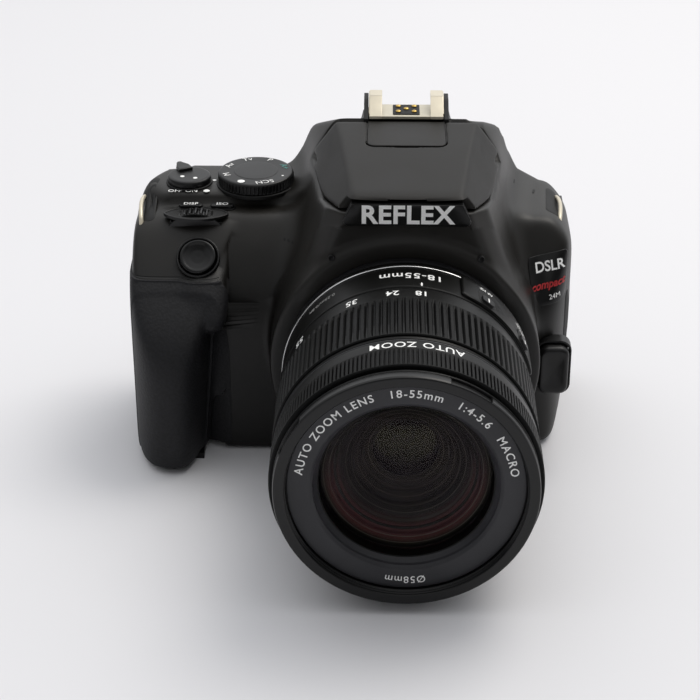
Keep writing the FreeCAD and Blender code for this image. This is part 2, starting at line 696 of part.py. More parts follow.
def make_flash():
    """The hollow head that lifts, the lamp's window under it, the plate in front."""
    tongue_gap = 0.3
    inner_wall = d.tongue_half + tongue_gap + d.head_wall
    shell_core = cut("head_core", head_form("head_inside", d.head_wall),
                     box("head_arm_wall", (-inner_wall, d.tongue_front - 2.6, 70),
                         (inner_wall, 30, 100)))
    notch = box("head_notch", (-d.tongue_half - tongue_gap, d.tongue_front - 0.9, 70),
                (d.tongue_half + tongue_gap, 30, 100))
    lamp_low = (-14, -21.5, d.head_skirt)
    lamp_high = (14, -10.5, d.head_skirt + d.head_wall)
    lamp_hole = box("lamp_hole", (-14, -21.5, 76), (14, -10.5, 80))
    pin_hole = rod("head_pin_hole", (-14.5, d.pivot_back, d.pivot_height), (1, 0, 0),
                   d.pin_radius + 0.1, 29)
    swing = 0.9
    name_room = box("name_room", (-d.name_half - tongue_gap, d.head_front - 2, 70),
                    (d.name_half + tongue_gap, d.head_front + d.name_thick + swing,
                     d.name_top + tongue_gap))
    node(cut("flash_head", head_form("head_outside", 0), shell_core, notch, lamp_hole, pin_hole,
             name_room))
    node(box("flash_window", lamp_low, lamp_high))
    node(rod("flash_hinge_pin", (-14, d.pivot_back, d.pivot_height), (1, 0, 0),
             d.pin_radius, 28))
    node(padded("name_plate", [
        (-16.1, d.deck - 0.6), (-d.name_half, d.deck + 1), (-14.5, d.name_top - 0.3),
        (14.5, d.name_top - 0.3), (d.name_half, d.deck + 1), (16.1, d.deck - 0.6)],
        0.6, "front", (0, d.head_front, 0)))


# ---------------------------------------------------------------------------------------
# Doors and the screen
# ---------------------------------------------------------------------------------------

def make_doors():
    """The battery door and the two soft covers over the sockets."""
    gap = d.running_gap
    node(box("battery_door", (DOOR.left + gap, DOOR.front + gap, 0),
             (DOOR.right - gap, DOOR.back - gap, 1.8)))
    for name, (plane, inward, front, rear, low, high) in PORT_COVERS.items():
        reach = sorted((plane, plane + 1.8 * inward))
        node(box(name, (reach[0], front + gap, low + gap), (reach[1], rear - gap, high - gap)))


def make_screen():
    """The screen that swings out to the side, its glass, and the ears that hold it."""
    face = d.body_back + 0.2
    back = face + d.screen_depth
    slab = box("screen_slab", (d.screen_left, face, d.screen_low),
               (d.hinge_across, back, d.screen_high))
    knuckle = rod("screen_knuckle", (d.hinge_across, d.hinge_back + 0.05, d.screen_low), UP,
                  d.hinge_round, d.screen_high - d.screen_low)
    bore = rod("screen_bore", (d.hinge_across, d.hinge_back, 0), UP, d.pin_radius + 0.1, 70)
    recess = box("screen_recess", (d.screen_left + 3, back - 0.8, d.screen_low + 3),
                 (d.hinge_across - 6, back + 1, d.screen_high - 3))
    node(cut("screen_housing", fuse("screen_solid", slab, knuckle), bore, recess))
    node(box("screen_glass", (d.screen_left + 3, back - 0.8, d.screen_low + 3),
             (d.hinge_across - 6, back - 0.1, d.screen_high - 3)))
    ears = []
    for name, low, high, pin_low in (
            ("low_ear", d.screen_low - 2.5, d.screen_low - 0.2, d.screen_low - 2.5),
            ("high_ear", d.screen_high + 0.2, d.screen_high + 2.5, d.screen_high - 3)):
        ear = box(name + "_block", (d.hinge_across - 2.2, d.body_back, low),
                  (d.hinge_across + 2.2, d.hinge_back + 2.1, high))
        pin = rod(name + "_pin", (d.hinge_across, d.hinge_back, pin_low), UP, d.pin_radius, 5.5)
        ears.append(fuse(name, ear, pin))
    node(group("screen_ears", ears))


# ---------------------------------------------------------------------------------------
# Mirror and shutter
# ---------------------------------------------------------------------------------------

def make_mirrors():
    """The reflex mirror at 45 degrees, the small one behind it, and the shutter curtain."""
    lean = 45.0
    node(padded("main_mirror", rectangle((-d.mirror_half, -d.mirror_length), (d.mirror_half, 0)),
                1.2, "plan", (0, d.mirror_back, d.mirror_height), lean))
    along = 14.0 * math.cos(math.radians(lean))
    behind = 0.6
    node(padded("sub_mirror", rectangle((-7, 0), (7, 9)), 0.8, "plan",
                (0, d.mirror_back - along + behind, d.mirror_height - along - behind), -lean))
    node(box("shutter_curtain", (-13.5, 11, d.lens_height - 9), (13.5, 12, d.lens_height + 9)))


# ---------------------------------------------------------------------------------------
# The lens
# ---------------------------------------------------------------------------------------

SWITCHES = {"af_mf_switch": 38.0, "stabiliser_switch": 64.0}


def make_lens():
    """Bayonet, barrels, rings and glass, each turned about the lens axis."""
    at = (0, d.flange, d.lens_height)
    gap = d.running_gap
    node(turned("lens_bayonet", [
        (21, -4), (d.throat_radius - 0.4, -4), (d.throat_radius - 0.4, 0), (31.5, 0),
        (31.5, 1.2), (21, 1.2)], at, FORWARD))

    barrel = turned("rear_barrel_blank", [
        (24, 1.2), (d.barrel_radius - 0.6, 1.2), (d.barrel_radius, 3),
        (d.barrel_radius, d.zoom_start - gap), (d.tube_outer, d.zoom_start - gap),
        (d.tube_outer, 42), (d.tube_inner, 42), (d.tube_inner, 8), (24, 8)], at, FORWARD)
    panel_sweep = 56.0
    panel = turned("switch_panel", [
        (31, 3.5), (d.barrel_radius + 0.7, 3.5), (d.barrel_radius + 0.7, 15), (31, 15)],
        at, FORWARD, panel_sweep, 156.0)
    slots = []
    for name, angle in SWITCHES.items():
        slot = box(name + "_slot", (-2.3, 0, 0), (2.3, 6.6, 4))
        slot.Placement = Place(Vec(0, 0, float(d.lens_height)), Turn(Vec(0, 1, 0), angle)).multiply(
            Place(Vec(-2.3, float(d.flange) - 12.6, 32.3), Turn()))
        slots.append(slot)
        slider = box(name, (-2.0, 0, 0), (2.0, 3.0, 2.0))
        slider.Placement = Place(Vec(0, 0, float(d.lens_height)), Turn(Vec(0, 1, 0), angle)).multiply(
            Place(Vec(-2.0, float(d.flange) - 12.3, 32.3), Turn()))
        node(slider)
    node(cut("lens_rear_barrel", fuse("rear_barrel_solid", barrel, panel), *slots))

    zoom = turned("zoom_ring", [
        (d.ring_bore, d.zoom_start), (d.barrel_radius, d.zoom_start),
        (d.barrel_radius, d.zoom_ribs), (d.ring_radius, d.zoom_ribs),
        (d.ring_radius, d.zoom_ribs_end), (d.barrel_radius, d.zoom_end),
        (d.ring_bore, d.zoom_end)], at, FORWARD)
    grooves(zoom, 60, d.ring_radius, 1.3, 0.8, d.zoom_ribs + 0.5, d.zoom_ribs_end - 0.3)
    node(zoom)

    node(turned("front_barrel", [
        (d.inner_bore, 12), (d.inner_tube, 12), (d.inner_tube, d.head_start),
        (d.head_radius, d.head_start), (d.head_radius, d.focus_start - gap),
        (30.4, d.focus_start - gap), (30.4, d.front_start), (d.inner_bore, d.front_start),
        (d.inner_bore, 56.5), (d.glass_radius + 0.2, 56.5), (d.glass_radius + 0.2, 50),
        (17, 50), (17, 46), (d.inner_bore, 46)], at, FORWARD))
    focus = turned("focus_ring", [
        (30.6, d.focus_start), (d.ring_radius, d.focus_start), (d.ring_radius, d.focus_end),
        (30.6, d.focus_end)], at, FORWARD)
    grooves(focus, 90, d.ring_radius, 0.9, 0.5, d.focus_start + 0.6, d.focus_end - 0.6)
    node(focus)
    seat = d.front_start + 0.4
    lip = d.lens_length - d.thread_depth
    front = lip - d.running_gap / 2
    node(turned("front_ring", [
        (d.inner_bore, d.front_start), (d.front_radius, d.front_start),
        (d.front_radius, d.lens_length - 0.5), (d.front_radius - 0.5, d.lens_length),
        (d.filter_radius, d.lens_length), (d.filter_radius, lip),
        (d.filter_radius + 0.4, lip), (d.filter_radius + 0.4, seat), (d.inner_bore, seat)],
        at, FORWARD))
    rim = d.filter_radius + 0.2
    node(turned("label_ring", [
        (d.glass_radius + 0.3, 56.6), (23, 56.6), (26.2, seat), (rim, seat),
        (rim, front), (23.6, front)], at, FORWARD))

    dome = doc.addObject("Part::Sphere", "front_dome")
    dome_radius = 60.0
    dome.Radius = dome_radius
    place(dome, (0, d.flange - 57.4 + dome_radius, d.lens_height))
    blank = rod("front_blank_glass", (0, d.flange - 50, d.lens_height), FORWARD,
                d.glass_radius, 8)
    node(common("front_element", blank, dome))
    node(turned("rear_group", [
        (0, -3), (13, -3), (13, 1.5), (24, 1.5), (24, 7), (0, 7)], at, FORWARD))


# ---------------------------------------------------------------------------------------
# Build, check and write
# ---------------------------------------------------------------------------------------

make_covers()
make_mount()
make_shoe()
make_eyepiece()
make_trim()
make_insides()
make_dials()
make_buttons()
make_flash()
make_doors()
make_screen()
make_mirrors()
make_lens()
doc.recompute()

for item in doc.Objects:
    if {"Invalid", "Error"} & set(item.State):
        raise RuntimeError(f"{item.Name} failed: {item.State}")

os.makedirs("parts", exist_ok=True)
for item in nodes:
    shape = item.Shape
    if shape.isNull() or not shape.isValid() or not shape.Solids:
        raise RuntimeError(f"{item.Label} has no valid shape")
    shape.exportStep(f"parts/{item.Label}.step")
    low, high = shape.BoundBox, shape.BoundBox
    print(f"{item.Label:22s} {len(shape.Solids)} solid(s) {shape.Volume / 1000:8.2f} cm3  "
          f"x {low.XMin:6.1f}..{high.XMax:6.1f}  y {low.YMin:6.1f}..{high.YMax:6.1f}  "
          f"z {low.ZMin:6.1f}..{high.ZMax:6.1f}")
print(len(nodes), "nodes")
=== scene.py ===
# %% [markdown]
# # A compact reflex camera with an 18-55 mm zoom
#
# The camera's working parts come from a packed design model. This script dresses them: smooth covers, rubber, glass,
# metal and lettering, each built from a formula and hung on the body of the design that carries it.
# Lengths inside the script are millimetres; the frame is in metres, with the lens towards -Y and the grip at -X.

# %% Load the design frame
import math
import bpy
import bmesh
import numpy as np
from mathutils import Euler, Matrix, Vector


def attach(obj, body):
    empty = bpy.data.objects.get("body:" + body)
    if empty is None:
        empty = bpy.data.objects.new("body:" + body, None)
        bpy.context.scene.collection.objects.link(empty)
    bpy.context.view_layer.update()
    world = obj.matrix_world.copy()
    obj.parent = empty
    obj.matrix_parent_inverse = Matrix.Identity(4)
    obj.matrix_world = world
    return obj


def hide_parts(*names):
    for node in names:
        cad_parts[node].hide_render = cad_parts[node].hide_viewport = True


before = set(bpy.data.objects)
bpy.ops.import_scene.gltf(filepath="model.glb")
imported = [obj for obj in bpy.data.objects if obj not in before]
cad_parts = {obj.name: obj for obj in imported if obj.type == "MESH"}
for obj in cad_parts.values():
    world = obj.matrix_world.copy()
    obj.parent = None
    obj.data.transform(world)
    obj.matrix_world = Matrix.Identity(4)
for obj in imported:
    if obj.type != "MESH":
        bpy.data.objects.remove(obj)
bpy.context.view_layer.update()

MM = 0.001
FLANGE_Y, LENS_Z = -30.0, 35.5      # front face of the lens mount, height of the lens axis
SEAM_Z, SPLIT_Y, BASE_Z = 63.0, 20.0, 2.0   # joints: under the top cover, front to rear cover, over the base

# %% [markdown]
# ## Turning a grid of points into a piece
#
# Nearly every piece here is one sheet of points, rows by columns. A single function makes the faces, welds poles and
# seams, turns the faces outwards, marks sharp edges and hangs the piece on its body, so that no piece skips a step.

# %% Grid meshes
def facing(mesh, inside):
    """Total of (face centre - inside point) . normal * area: positive when faces look away from that point."""
    count = len(mesh.polygons)
    centre, normal, area = np.zeros(count * 3), np.zeros(count * 3), np.zeros(count)
    mesh.polygons.foreach_get("center", centre)
    mesh.polygons.foreach_get("normal", normal)
    mesh.polygons.foreach_get("area", area)
    away = centre.reshape(-1, 3) - np.asarray(inside, float) * MM
    return float(((away * normal.reshape(-1, 3)).sum(1) * area).sum())


def weld(mesh, flip, inside):
    """Merge coincident points, drop faces without area, and face the sheet outwards."""
    work = bmesh.new()
    work.from_mesh(mesh)
    bmesh.ops.remove_doubles(work, verts=work.verts, dist=2e-7)
    bmesh.ops.dissolve_degenerate(work, edges=work.edges, dist=1e-8)
    work.to_mesh(mesh)
    mesh.update()
    if (facing(mesh, inside) < 0) != flip:
        bmesh.ops.reverse_faces(work, faces=work.faces)
        work.to_mesh(mesh)
        mesh.update()
    work.free()


def finish_piece(mesh, name, body, slot, material, sharp=35.0, replaces=(), form=None):
    """Make the object, shade it, give it its material and hang it on its body; the slot is not used."""
    mesh.shade_smooth()
    if form is None:
        mesh.set_sharp_from_angle(angle=math.radians(sharp))
    else:
        mesh.normals_split_custom_set_from_vertices(form_normals(mesh, form).tolist())
    piece = bpy.data.objects.new(name, mesh)
    bpy.context.scene.collection.objects.link(piece)
    mesh.materials.append(material)
    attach(piece, body)
    if replaces:
        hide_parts(*replaces)
    return piece


def form_normals(mesh, form):
    """Shading directions from the slope of the form at each point, the same on both sides of a joint."""
    points = np.zeros(len(mesh.vertices) * 3)
    mesh.vertices.foreach_get("co", points)
    points = points.reshape(-1, 3) / MM
    slope = np.stack([form(points + step) - form(points - step) for step in np.eye(3) * 0.05], -1)
    return slope / np.maximum(np.linalg.norm(slope, axis=1, keepdims=True), 1e-9)


def sheet(name, grid, body, slot, material, wrap=(False, False), inside=None, flip=False, sharp=35.0, replaces=(),
          keep=None, form=None):
    """A piece from a grid of points in millimetres; wrap joins the last row or column to the first."""
    grid = np.asarray(grid, float)
    rows, columns = grid.shape[:2]
    index = np.arange(rows * columns).reshape(rows, columns)
    down = np.vstack([index, index[:1]]) if wrap[0] else index
    full = np.hstack([down, down[:, :1]]) if wrap[1] else down
    faces = np.stack([full[:-1, :-1], full[1:, :-1], full[1:, 1:], full[:-1, 1:]], -1).reshape(-1, 4)
    if keep is not None:
        faces = faces[keep(grid.reshape(-1, 3)[faces].mean(1))]
    mesh = bpy.data.meshes.new(name)
    mesh.from_pydata((grid.reshape(-1, 3) * MM).tolist(), [], faces.tolist())
    if keep is not None:
        drop_loose(mesh)
    weld(mesh, flip, grid.reshape(-1, 3).mean(0) if inside is None else inside)
    return finish_piece(mesh, name, body, slot, material, sharp, replaces, form)


def drop_loose(mesh):
    """Remove points that no face uses."""
    work = bmesh.new()
    work.from_mesh(mesh)
    bmesh.ops.delete(work, geom=[v for v in work.verts if not v.link_faces], context="VERTS")
    work.to_mesh(mesh)
    work.free()


def solid(name, grid, body, slot, material, wrap, **options):
    """A closed piece from a grid of points, with its faces outwards."""
    piece = sheet(name, grid, body, slot, material, wrap, **options)
    volume_outwards(piece.data)
    return piece


def spaced(corners, step):
    """Points along a broken line, no further apart than the step, keeping every corner."""
    corners = np.asarray(corners, float)
    parts = [corners[:1]]
    for start, end in zip(corners[:-1], corners[1:]):
        count = max(1, math.ceil(np.linalg.norm(end - start) / step))
        parts.append(start + (end - start) * (np.arange(1, count + 1) / count)[:, None])
    return np.vstack(parts)


def eased(corners, radius, step=0.35):
    """A broken line with each inner corner replaced by a quadratic curve of about that radius."""
    corners = np.asarray(corners, float)
    line = [corners[:1]]
    for before, corner, after in zip(corners[:-2], corners[1:-1], corners[2:]):
        arm_in, arm_out = before - corner, after - corner
        reach = min(radius, np.linalg.norm(arm_in) * 0.45, np.linalg.norm(arm_out) * 0.45)
        start = corner + arm_in / np.linalg.norm(arm_in) * reach
        end = corner + arm_out / np.linalg.norm(arm_out) * reach
        t = np.linspace(0, 1, 5)[:, None]
        line.append((1 - t) ** 2 * start + 2 * t * (1 - t) * corner + t ** 2 * end)
    line.append(corners[-1:])
    return spaced(np.vstack(line), step)


def lathe(name, profile, centre, axis, body, slot, material, turns=160, relief=None, replaces=(), sharp=35.0,
          soften=0.25, step=3.0):
    """Turn a profile of (radius, distance) corners about an axis: p = centre + axis*a + r*(cos t * u + sin t * v).

    relief(r, a, t) may move the radius. A profile that doesn't end on the axis is a closed loop.
    """
    profile = np.asarray(profile, float)
    loop = profile[0, 0] > 1e-6 or profile[-1, 0] > 1e-6
    line = np.vstack([profile, profile[:1]]) if loop else profile
    line = eased(line, soften, step) if soften else spaced(line, step)
    if loop:
        line = line[:-1]
    axis = np.asarray(axis, float)
    across = np.array([1.0, 0, 0]) if abs(axis[0]) < 0.9 else np.array([0, 1.0, 0])
    u = across - axis * (across @ axis)
    u /= np.linalg.norm(u)
    v = np.cross(axis, u)
    t = np.arange(turns) * 2 * np.pi / turns
    r, a = np.broadcast_arrays(line[:, 0][:, None], t[None])[0], line[:, 1][:, None] + 0 * t[None]
    if relief is not None:
        r = relief(r, a, t[None] + 0 * r)
    grid = (np.asarray(centre, float) + a[..., None] * axis
            + r[..., None] * (np.cos(t)[None, :, None] * u + np.sin(t)[None, :, None] * v))
    return solid(name, grid, body, slot, material, (loop, True), sharp=sharp, replaces=replaces)


def volume_outwards(mesh):
    """Turn a closed mesh's faces outwards by the sign of its volume."""
    mesh.calc_loop_triangles()
    points = np.zeros(len(mesh.vertices) * 3)
    mesh.vertices.foreach_get("co", points)
    points = points.reshape(-1, 3)
    triangles = np.zeros(len(mesh.loop_triangles) * 3, int)
    mesh.loop_triangles.foreach_get("vertices", triangles)
    a, b, c = points[triangles.reshape(-1, 3)].transpose(1, 0, 2)
    if (a * np.cross(b, c)).sum() < 0:
        work = bmesh.new()
        work.from_mesh(mesh)
        bmesh.ops.reverse_faces(work, faces=work.faces)
        work.to_mesh(mesh)
        work.free()


def prism(name, outline, low, high, place, body, slot, material, bevel=0.3, dish=0.0, replaces=(), sharp=40.0):
    """A block with a rounded top edge: the outline (u, v) shrinks by the bevel near the top; place maps (u, v, w)."""
    outline = np.asarray(outline, float)
    middle = outline.mean(0)
    reach = outline - middle
    length = np.linalg.norm(reach, axis=1, keepdims=True)
    angle = np.linspace(0, np.pi / 2, 5)
    rings = [(0.0, low)] + [(bevel * (1 - math.cos(x)), high - bevel + bevel * math.sin(x)) for x in angle]
    grid = [np.column_stack([middle + reach * (1 - inset / length), np.full(len(outline), w)]) for inset, w in rings]
    rest = [np.column_stack([middle + reach * (1 - bevel / length) * s, np.full(len(outline),
                                                                                high - dish * (1 - s * s))])
            for s in (0.8, 0.5, 0.2, 0.0)]
    base = np.column_stack([np.tile(middle, (len(outline), 1)), np.full(len(outline), low)])
    flat = np.array([base] + grid + rest)
    return solid(name, place(flat), body, slot, material, (False, True), replaces=replaces, sharp=sharp)


def rounded_rectangle(half_u, half_v, corner, count=7):
    """Counter-clockwise outline of a rectangle about the origin with round corners."""
    t = np.linspace(0, np.pi / 2, count)
    parts = []
    for turn, (su, sv) in enumerate(((1, 1), (-1, 1), (-1, -1), (1, -1))):
        angle = t + turn * np.pi / 2
        parts.append(np.column_stack([su * (half_u - corner) + corner * np.cos(angle),
                                      sv * (half_v - corner) + corner * np.sin(angle)]))
    return np.vstack(parts)


def moved_outline(outline, u, v, turn=0.0):
    """An outline turned and moved in its plane."""
    c, s = math.cos(math.radians(turn)), math.sin(math.radians(turn))
    return np.asarray(outline) @ np.array([[c, s], [-s, c]]) + [u, v]


def oblong(half_u, half_v, corner, u, v, turn=0.0, count=7):
    """A rectangle with round corners about a place in its plane."""
    return moved_outline(rounded_rectangle(half_u, half_v, corner, count), u, v, turn)


def frame_at(origin, u, v):
    """A map from (u, v, w) to the frame: w runs along u x v."""
    u, v = np.asarray(u, float), np.asarray(v, float)
    u, v = u / np.linalg.norm(u), v / np.linalg.norm(v)
    w = np.cross(u, v)
    return lambda p: np.asarray(origin, float) + p[..., :1] * u + p[..., 1:2] * v + p[..., 2:] * w


print("mesh helpers ready")

# %% [markdown]
# ## Materials
#
# Each finish is worked out in the frame's own coordinates, so grain and wear stay with the piece. The small classes
# below let a formula such as `grain * 0.2 + 0.4` build the shader nodes it needs.

# %% Shader arithmetic
class Value:
    """A number, colour or vector inside a material; arithmetic on it adds Math nodes."""

    def __init__(self, shader, socket):
        self.shader, self.socket = shader, socket

    def _math(self, operation, *others, swap=False):
        terms = [self, *others]
        if swap:
            terms.reverse()
        node = self.shader.make("ShaderNodeMath", {"operation": operation}, dict(enumerate(terms)))
        return Value(self.shader, node.outputs[0])

    def __add__(self, other): return self._math("ADD", other)
    def __radd__(self, other): return self._math("ADD", other, swap=True)
    def __sub__(self, other): return self._math("SUBTRACT", other)
    def __rsub__(self, other): return self._math("SUBTRACT", other, swap=True)
    def __mul__(self, other): return self._math("MULTIPLY", other)
    def __rmul__(self, other): return self._math("MULTIPLY", other, swap=True)
    def __truediv__(self, other): return self._math("DIVIDE", other)
    def __rtruediv__(self, other): return self._math("DIVIDE", other, swap=True)
    def __abs__(self): return self._math("ABSOLUTE")
    def __gt__(self, other): return self._math("GREATER_THAN", other)
    def __lt__(self, other): return self._math("LESS_THAN", other)
    def __neg__(self): return self._math("MULTIPLY", -1.0)

    def high(self, other): return self._math("MAXIMUM", other)

    def low(self, other): return self._math("MINIMUM", other)

    def fade(self, start, end):
        """0 at start, 1 at end, smooth between."""
        node = self.shader.make("ShaderNodeMapRange", {"interpolation_type": "SMOOTHSTEP", "clamp": True},
                                {"Value": self, "From Min": start, "From Max": end, "To Min": 0.0, "To Max": 1.0})
        return Value(self.shader, node.outputs["Result"])


class Shader:
    """A material under construction."""

    def __init__(self, name):
        self.material = bpy.data.materials.new(name)
        self.material.use_nodes = True
        self.tree = self.material.node_tree
        self.tree.nodes.clear()
        self.locate("Object")

    def locate(self, output):
        """Take the place on the piece, or the direction in the sky, as x, y and z."""
        self.where = Value(self, self.make("ShaderNodeTexCoord").outputs[output])
        split = self.make("ShaderNodeSeparateXYZ", None, {0: self.where})
        self.x, self.y, self.z = (Value(self, split.outputs[i]) for i in range(3))

    def make(self, kind, settings=None, inputs=None):
        """Add a node, set it up, then connect or fill its inputs."""
        node = self.tree.nodes.new(kind)
        for name, value in (settings or {}).items():
            setattr(node, name, value)
        for key, value in (inputs or {}).items():
            if isinstance(value, Value):
                self.tree.links.new(value.socket, node.inputs[key])
            else:
                node.inputs[key].default_value = value
        return node

    def noise(self, scale, detail=3.0, rough=0.55, stretch=(1, 1, 1)):
        """Smooth noise, about 0.5; scale is features per metre."""
        where = self.make("ShaderNodeVectorMath", {"operation": "MULTIPLY"}, {0: self.where, 1: stretch})
        node = self.make("ShaderNodeTexNoise", None, {"Vector": Value(self, where.outputs[0]), "Scale": scale,
                                                      "Detail": detail, "Roughness": rough})
        return Value(self, node.outputs[0])

    def cells(self, scale, feature="F1"):
        """Distance to the nearest point of a jittered lattice."""
        node = self.make("ShaderNodeTexVoronoi", {"feature": feature}, {"Vector": self.where, "Scale": scale})
        return Value(self, node.outputs["Distance"])

    def mix(self, factor, first, second):
        """Colour between two colours."""
        node = self.make("ShaderNodeMix", {"data_type": "RGBA"}, {0: factor, 6: first, 7: second})
        return Value(self, node.outputs[2])

    def bump(self, height, distance, strength=1.0):
        node = self.make("ShaderNodeBump", None, {"Height": height, "Distance": distance, "Strength": strength})
        return Value(self, node.outputs["Normal"])

    def surface(self, **inputs):
        """The Principled surface; names use underscores for spaces."""
        shader = self.make("ShaderNodeBsdfPrincipled", None,
                           {name.replace("_", " "): value for name, value in inputs.items()})
        self.make("ShaderNodeOutputMaterial", None, {"Surface": Value(self, shader.outputs[0])})
        return self.material


def linear(red, green, blue):
    """An sRGB colour of 0-255 parts as the linear colour that shaders take."""
    def part(c):
        c /= 255
        return c / 12.92 if c <= 0.04045 else ((c + 0.055) / 1.055) ** 2.4
    return (part(red), part(green), part(blue), 1.0)


def scaled(colour, factor):
    return tuple(min(1.0, c * factor) for c in colour[:3]) + (1.0,)


print("shader classes ready")

# %% [markdown]
# Moulded plastic: spark-eroded tools leave a fine even grain that scatters light softly. The colour drifts a little,
# roughness varies with handling, and thin dark lines with a dip mark where one cover meets the next.

# %% Plastics and rubber
def plastic(name, colour, rough=0.45, grain=0.5, seams=(), coat=0.0, painted_shade_heights=None, shine=0.34):
    """Satin plastic. seams is a list of functions of the shader giving a distance in metres to a joint line.

    painted_shade_heights = (start, end) heights between which painted shade on the lower body fades out: below start
    the colour is darkened to 0.4 of its tone, above end it is full.
    """
    s = Shader(name)
    colour = scaled(colour, 0.27)
    drift = s.noise(60, 4)
    fine = s.noise(2600, 3, 0.7)
    pits = s.cells(3400)
    base = s.mix(drift.fade(0.3, 0.7), scaled(colour, 0.86), scaled(colour, 1.16))
    base = s.mix((fine - 0.5).fade(0.0, 0.3) * 0.35, base, scaled(colour, 1.6))
    # Painted shade: below these heights the colour is darkened, so the lower front reads as shaded and the top as lit.
    if painted_shade_heights:
        base = s.mix(s.z.fade(*painted_shade_heights), scaled(colour, 0.4), base)
    height = fine * grain + pits * grain * 0.8
    for seam in seams:
        gap = 1.0 - abs(seam(s)).fade(0.00006, 0.00022)
        base = s.mix(gap * 0.9, base, (0.002, 0.002, 0.002, 1.0))
        height = height - gap * 4.0
    return s.surface(Base_Color=base, Roughness=rough + (drift - 0.5) * 0.16 + (fine - 0.5) * 0.1,
                     Normal=s.bump(height, 0.00004, 0.55), Coat_Weight=coat, Coat_Roughness=0.25,
                     Specular_IOR_Level=shine)


def rubber(name, colour, pebble=1500.0, depth=0.00012, rough=0.62, shine=0.35):
    """Moulded rubber with a leather-like pebble: each pebble paler on its raised top and darker in the hollows round
    it, with paler worn patches.
    """
    s = Shader(name)
    colour = scaled(colour, 0.27)
    lumps = s.cells(pebble, "SMOOTH_F1")
    fine = s.noise(5200, 2)
    worn = s.noise(45, 4)
    base = s.mix(lumps.fade(0.05, 0.75), scaled(colour, 1.35), scaled(colour, 0.62))
    base = s.mix(worn.fade(0.35, 0.75) * 0.4, base, scaled(colour, 1.5))
    return s.surface(Base_Color=base, Roughness=rough + (worn - 0.5) * 0.14,
                     Normal=s.bump(fine * 0.25 - lumps, depth, 0.6), Specular_IOR_Level=shine)


def metal(name, colour, rough=0.3, stretch=(1, 1, 1), scale=900.0, metallic=1.0):
    """Plated or brushed metal: streaks along the direction the tool ran, a few dull patches."""
    s = Shader(name)
    streak = s.noise(scale, 4, 0.6, stretch)
    patch = s.noise(90, 3)
    base = s.mix(patch.fade(0.35, 0.7) * 0.5, colour, scaled(colour, 0.78))
    return s.surface(Base_Color=base, Metallic=metallic,
                     Roughness=rough + (streak - 0.5) * 0.25 + (patch - 0.5) * 0.1,
                     Normal=s.bump(streak, 0.00002, 0.5))


def paint(name, colour, rough=0.5):
    """Pad-printed ink: almost even, with slightly thin spots."""
    s = Shader(name)
    thin = s.noise(1800, 3)
    return s.surface(Base_Color=s.mix(thin.fade(0.25, 0.8) * 0.35, colour, scaled(colour, 0.72)),
                     Roughness=rough + (thin - 0.5) * 0.2)


RUBBER_TOP, RUBBER_EDGE_X = 53.2, -50.5
SEAM_TOP = lambda s: (s.z - SEAM_Z * MM) + (s.y < SPLIT_Y * MM) * 10.0
SEAM_SPLIT = lambda s: (s.y - SPLIT_Y * MM) + (s.z > SEAM_Z * MM) * 10.0
SEAM_BASE = lambda s: s.z - BASE_Z * MM
SEAM_GRIP = lambda s: (s.z - RUBBER_TOP * MM) + (s.x > RUBBER_EDGE_X * MM) * 10.0 + (s.y > SPLIT_Y * MM) * 10.0

# The shell's lower parts are darkened as painted shade, fading out between 46 and 68 mm high.
shell_black = plastic("shell_black", linear(56, 53, 48), 0.43, 0.6, (SEAM_TOP, SEAM_SPLIT, SEAM_BASE, SEAM_GRIP),
                      painted_shade_heights=(0.046, 0.068))
smooth_black = plastic("smooth_black", linear(30, 30, 31), 0.4, 0.4)
head_black = plastic("head_black", linear(46, 43, 38), 0.46, 0.6, shine=0.24)
deep_black = plastic("deep_black", linear(10, 10, 11), 0.6, 0.3)
satin_black = plastic("satin_black", linear(18, 18, 18), 0.32, 0.25, coat=0.06)
gloss_black = plastic("gloss_black", linear(8, 8, 8), 0.2, 0.05)
barrel_black = plastic("barrel_black", linear(22, 22, 20), 0.36, 0.35, shine=0.16)
grip_black = rubber("grip_black", linear(44, 44, 49))
ring_black = rubber("ring_black", linear(16, 17, 17), 2600.0, 0.00005, 0.5, 0.14)
cup_black = rubber("cup_black", linear(28, 28, 28), 3000.0, 0.00004, 0.7)
steel = metal("steel", linear(206, 199, 180), 0.4, (0.15, 1, 1), metallic=0.35)
bright_steel = metal("bright_steel", linear(216, 207, 186), 0.34, metallic=0.35)
chrome = metal("chrome", linear(205, 205, 205), 0.2)
screw_steel = metal("screw_steel", linear(150, 150, 150), 0.35)
brass = metal("brass", linear(190, 160, 90), 0.35)
alloy = metal("alloy", linear(70, 70, 72), 0.5)
white_ink = paint("white_ink", linear(252, 252, 250))
grey_ink = paint("grey_ink", linear(150, 150, 148))
red_ink = paint("red_ink", linear(170, 30, 34))
teal_ink = paint("teal_ink", linear(70, 150, 140))
print(len(bpy.data.materials), "materials")

# %% [markdown]
# Coated glass: the front element is a dark pool that reflects the studio with a coloured tint from its coating. The
# tint changes with the angle of view, which a layer of green and red by facing gives.

# %% Glass
def coated_glass(name, core, tint_near, tint_edge, rough=0.03):
    """Dark glass seen from outside: a black core under a coloured coating."""
    s = Shader(name)
    facing_node = s.make("ShaderNodeLayerWeight", None, {"Blend": 0.4})
    edge = Value(s, facing_node.outputs["Facing"])
    smear = s.noise(70, 3)
    base = s.mix(edge.fade(0.1, 0.9), core, tint_edge)
    base = s.mix(smear.fade(0.45, 0.8) * 0.25, base, tint_near)
    return s.surface(Base_Color=base, Roughness=rough + smear * 0.02, Coat_Weight=1.0, Coat_Roughness=0.02,
                     Coat_Tint=tint_near, Specular_IOR_Level=0.8)


def mirror_silver(name):
    s = Shader(name)
    haze = s.noise(120, 3)
    return s.surface(Base_Color=(0.86, 0.87, 0.88, 1), Metallic=1.0, Roughness=0.04 + haze * 0.05)


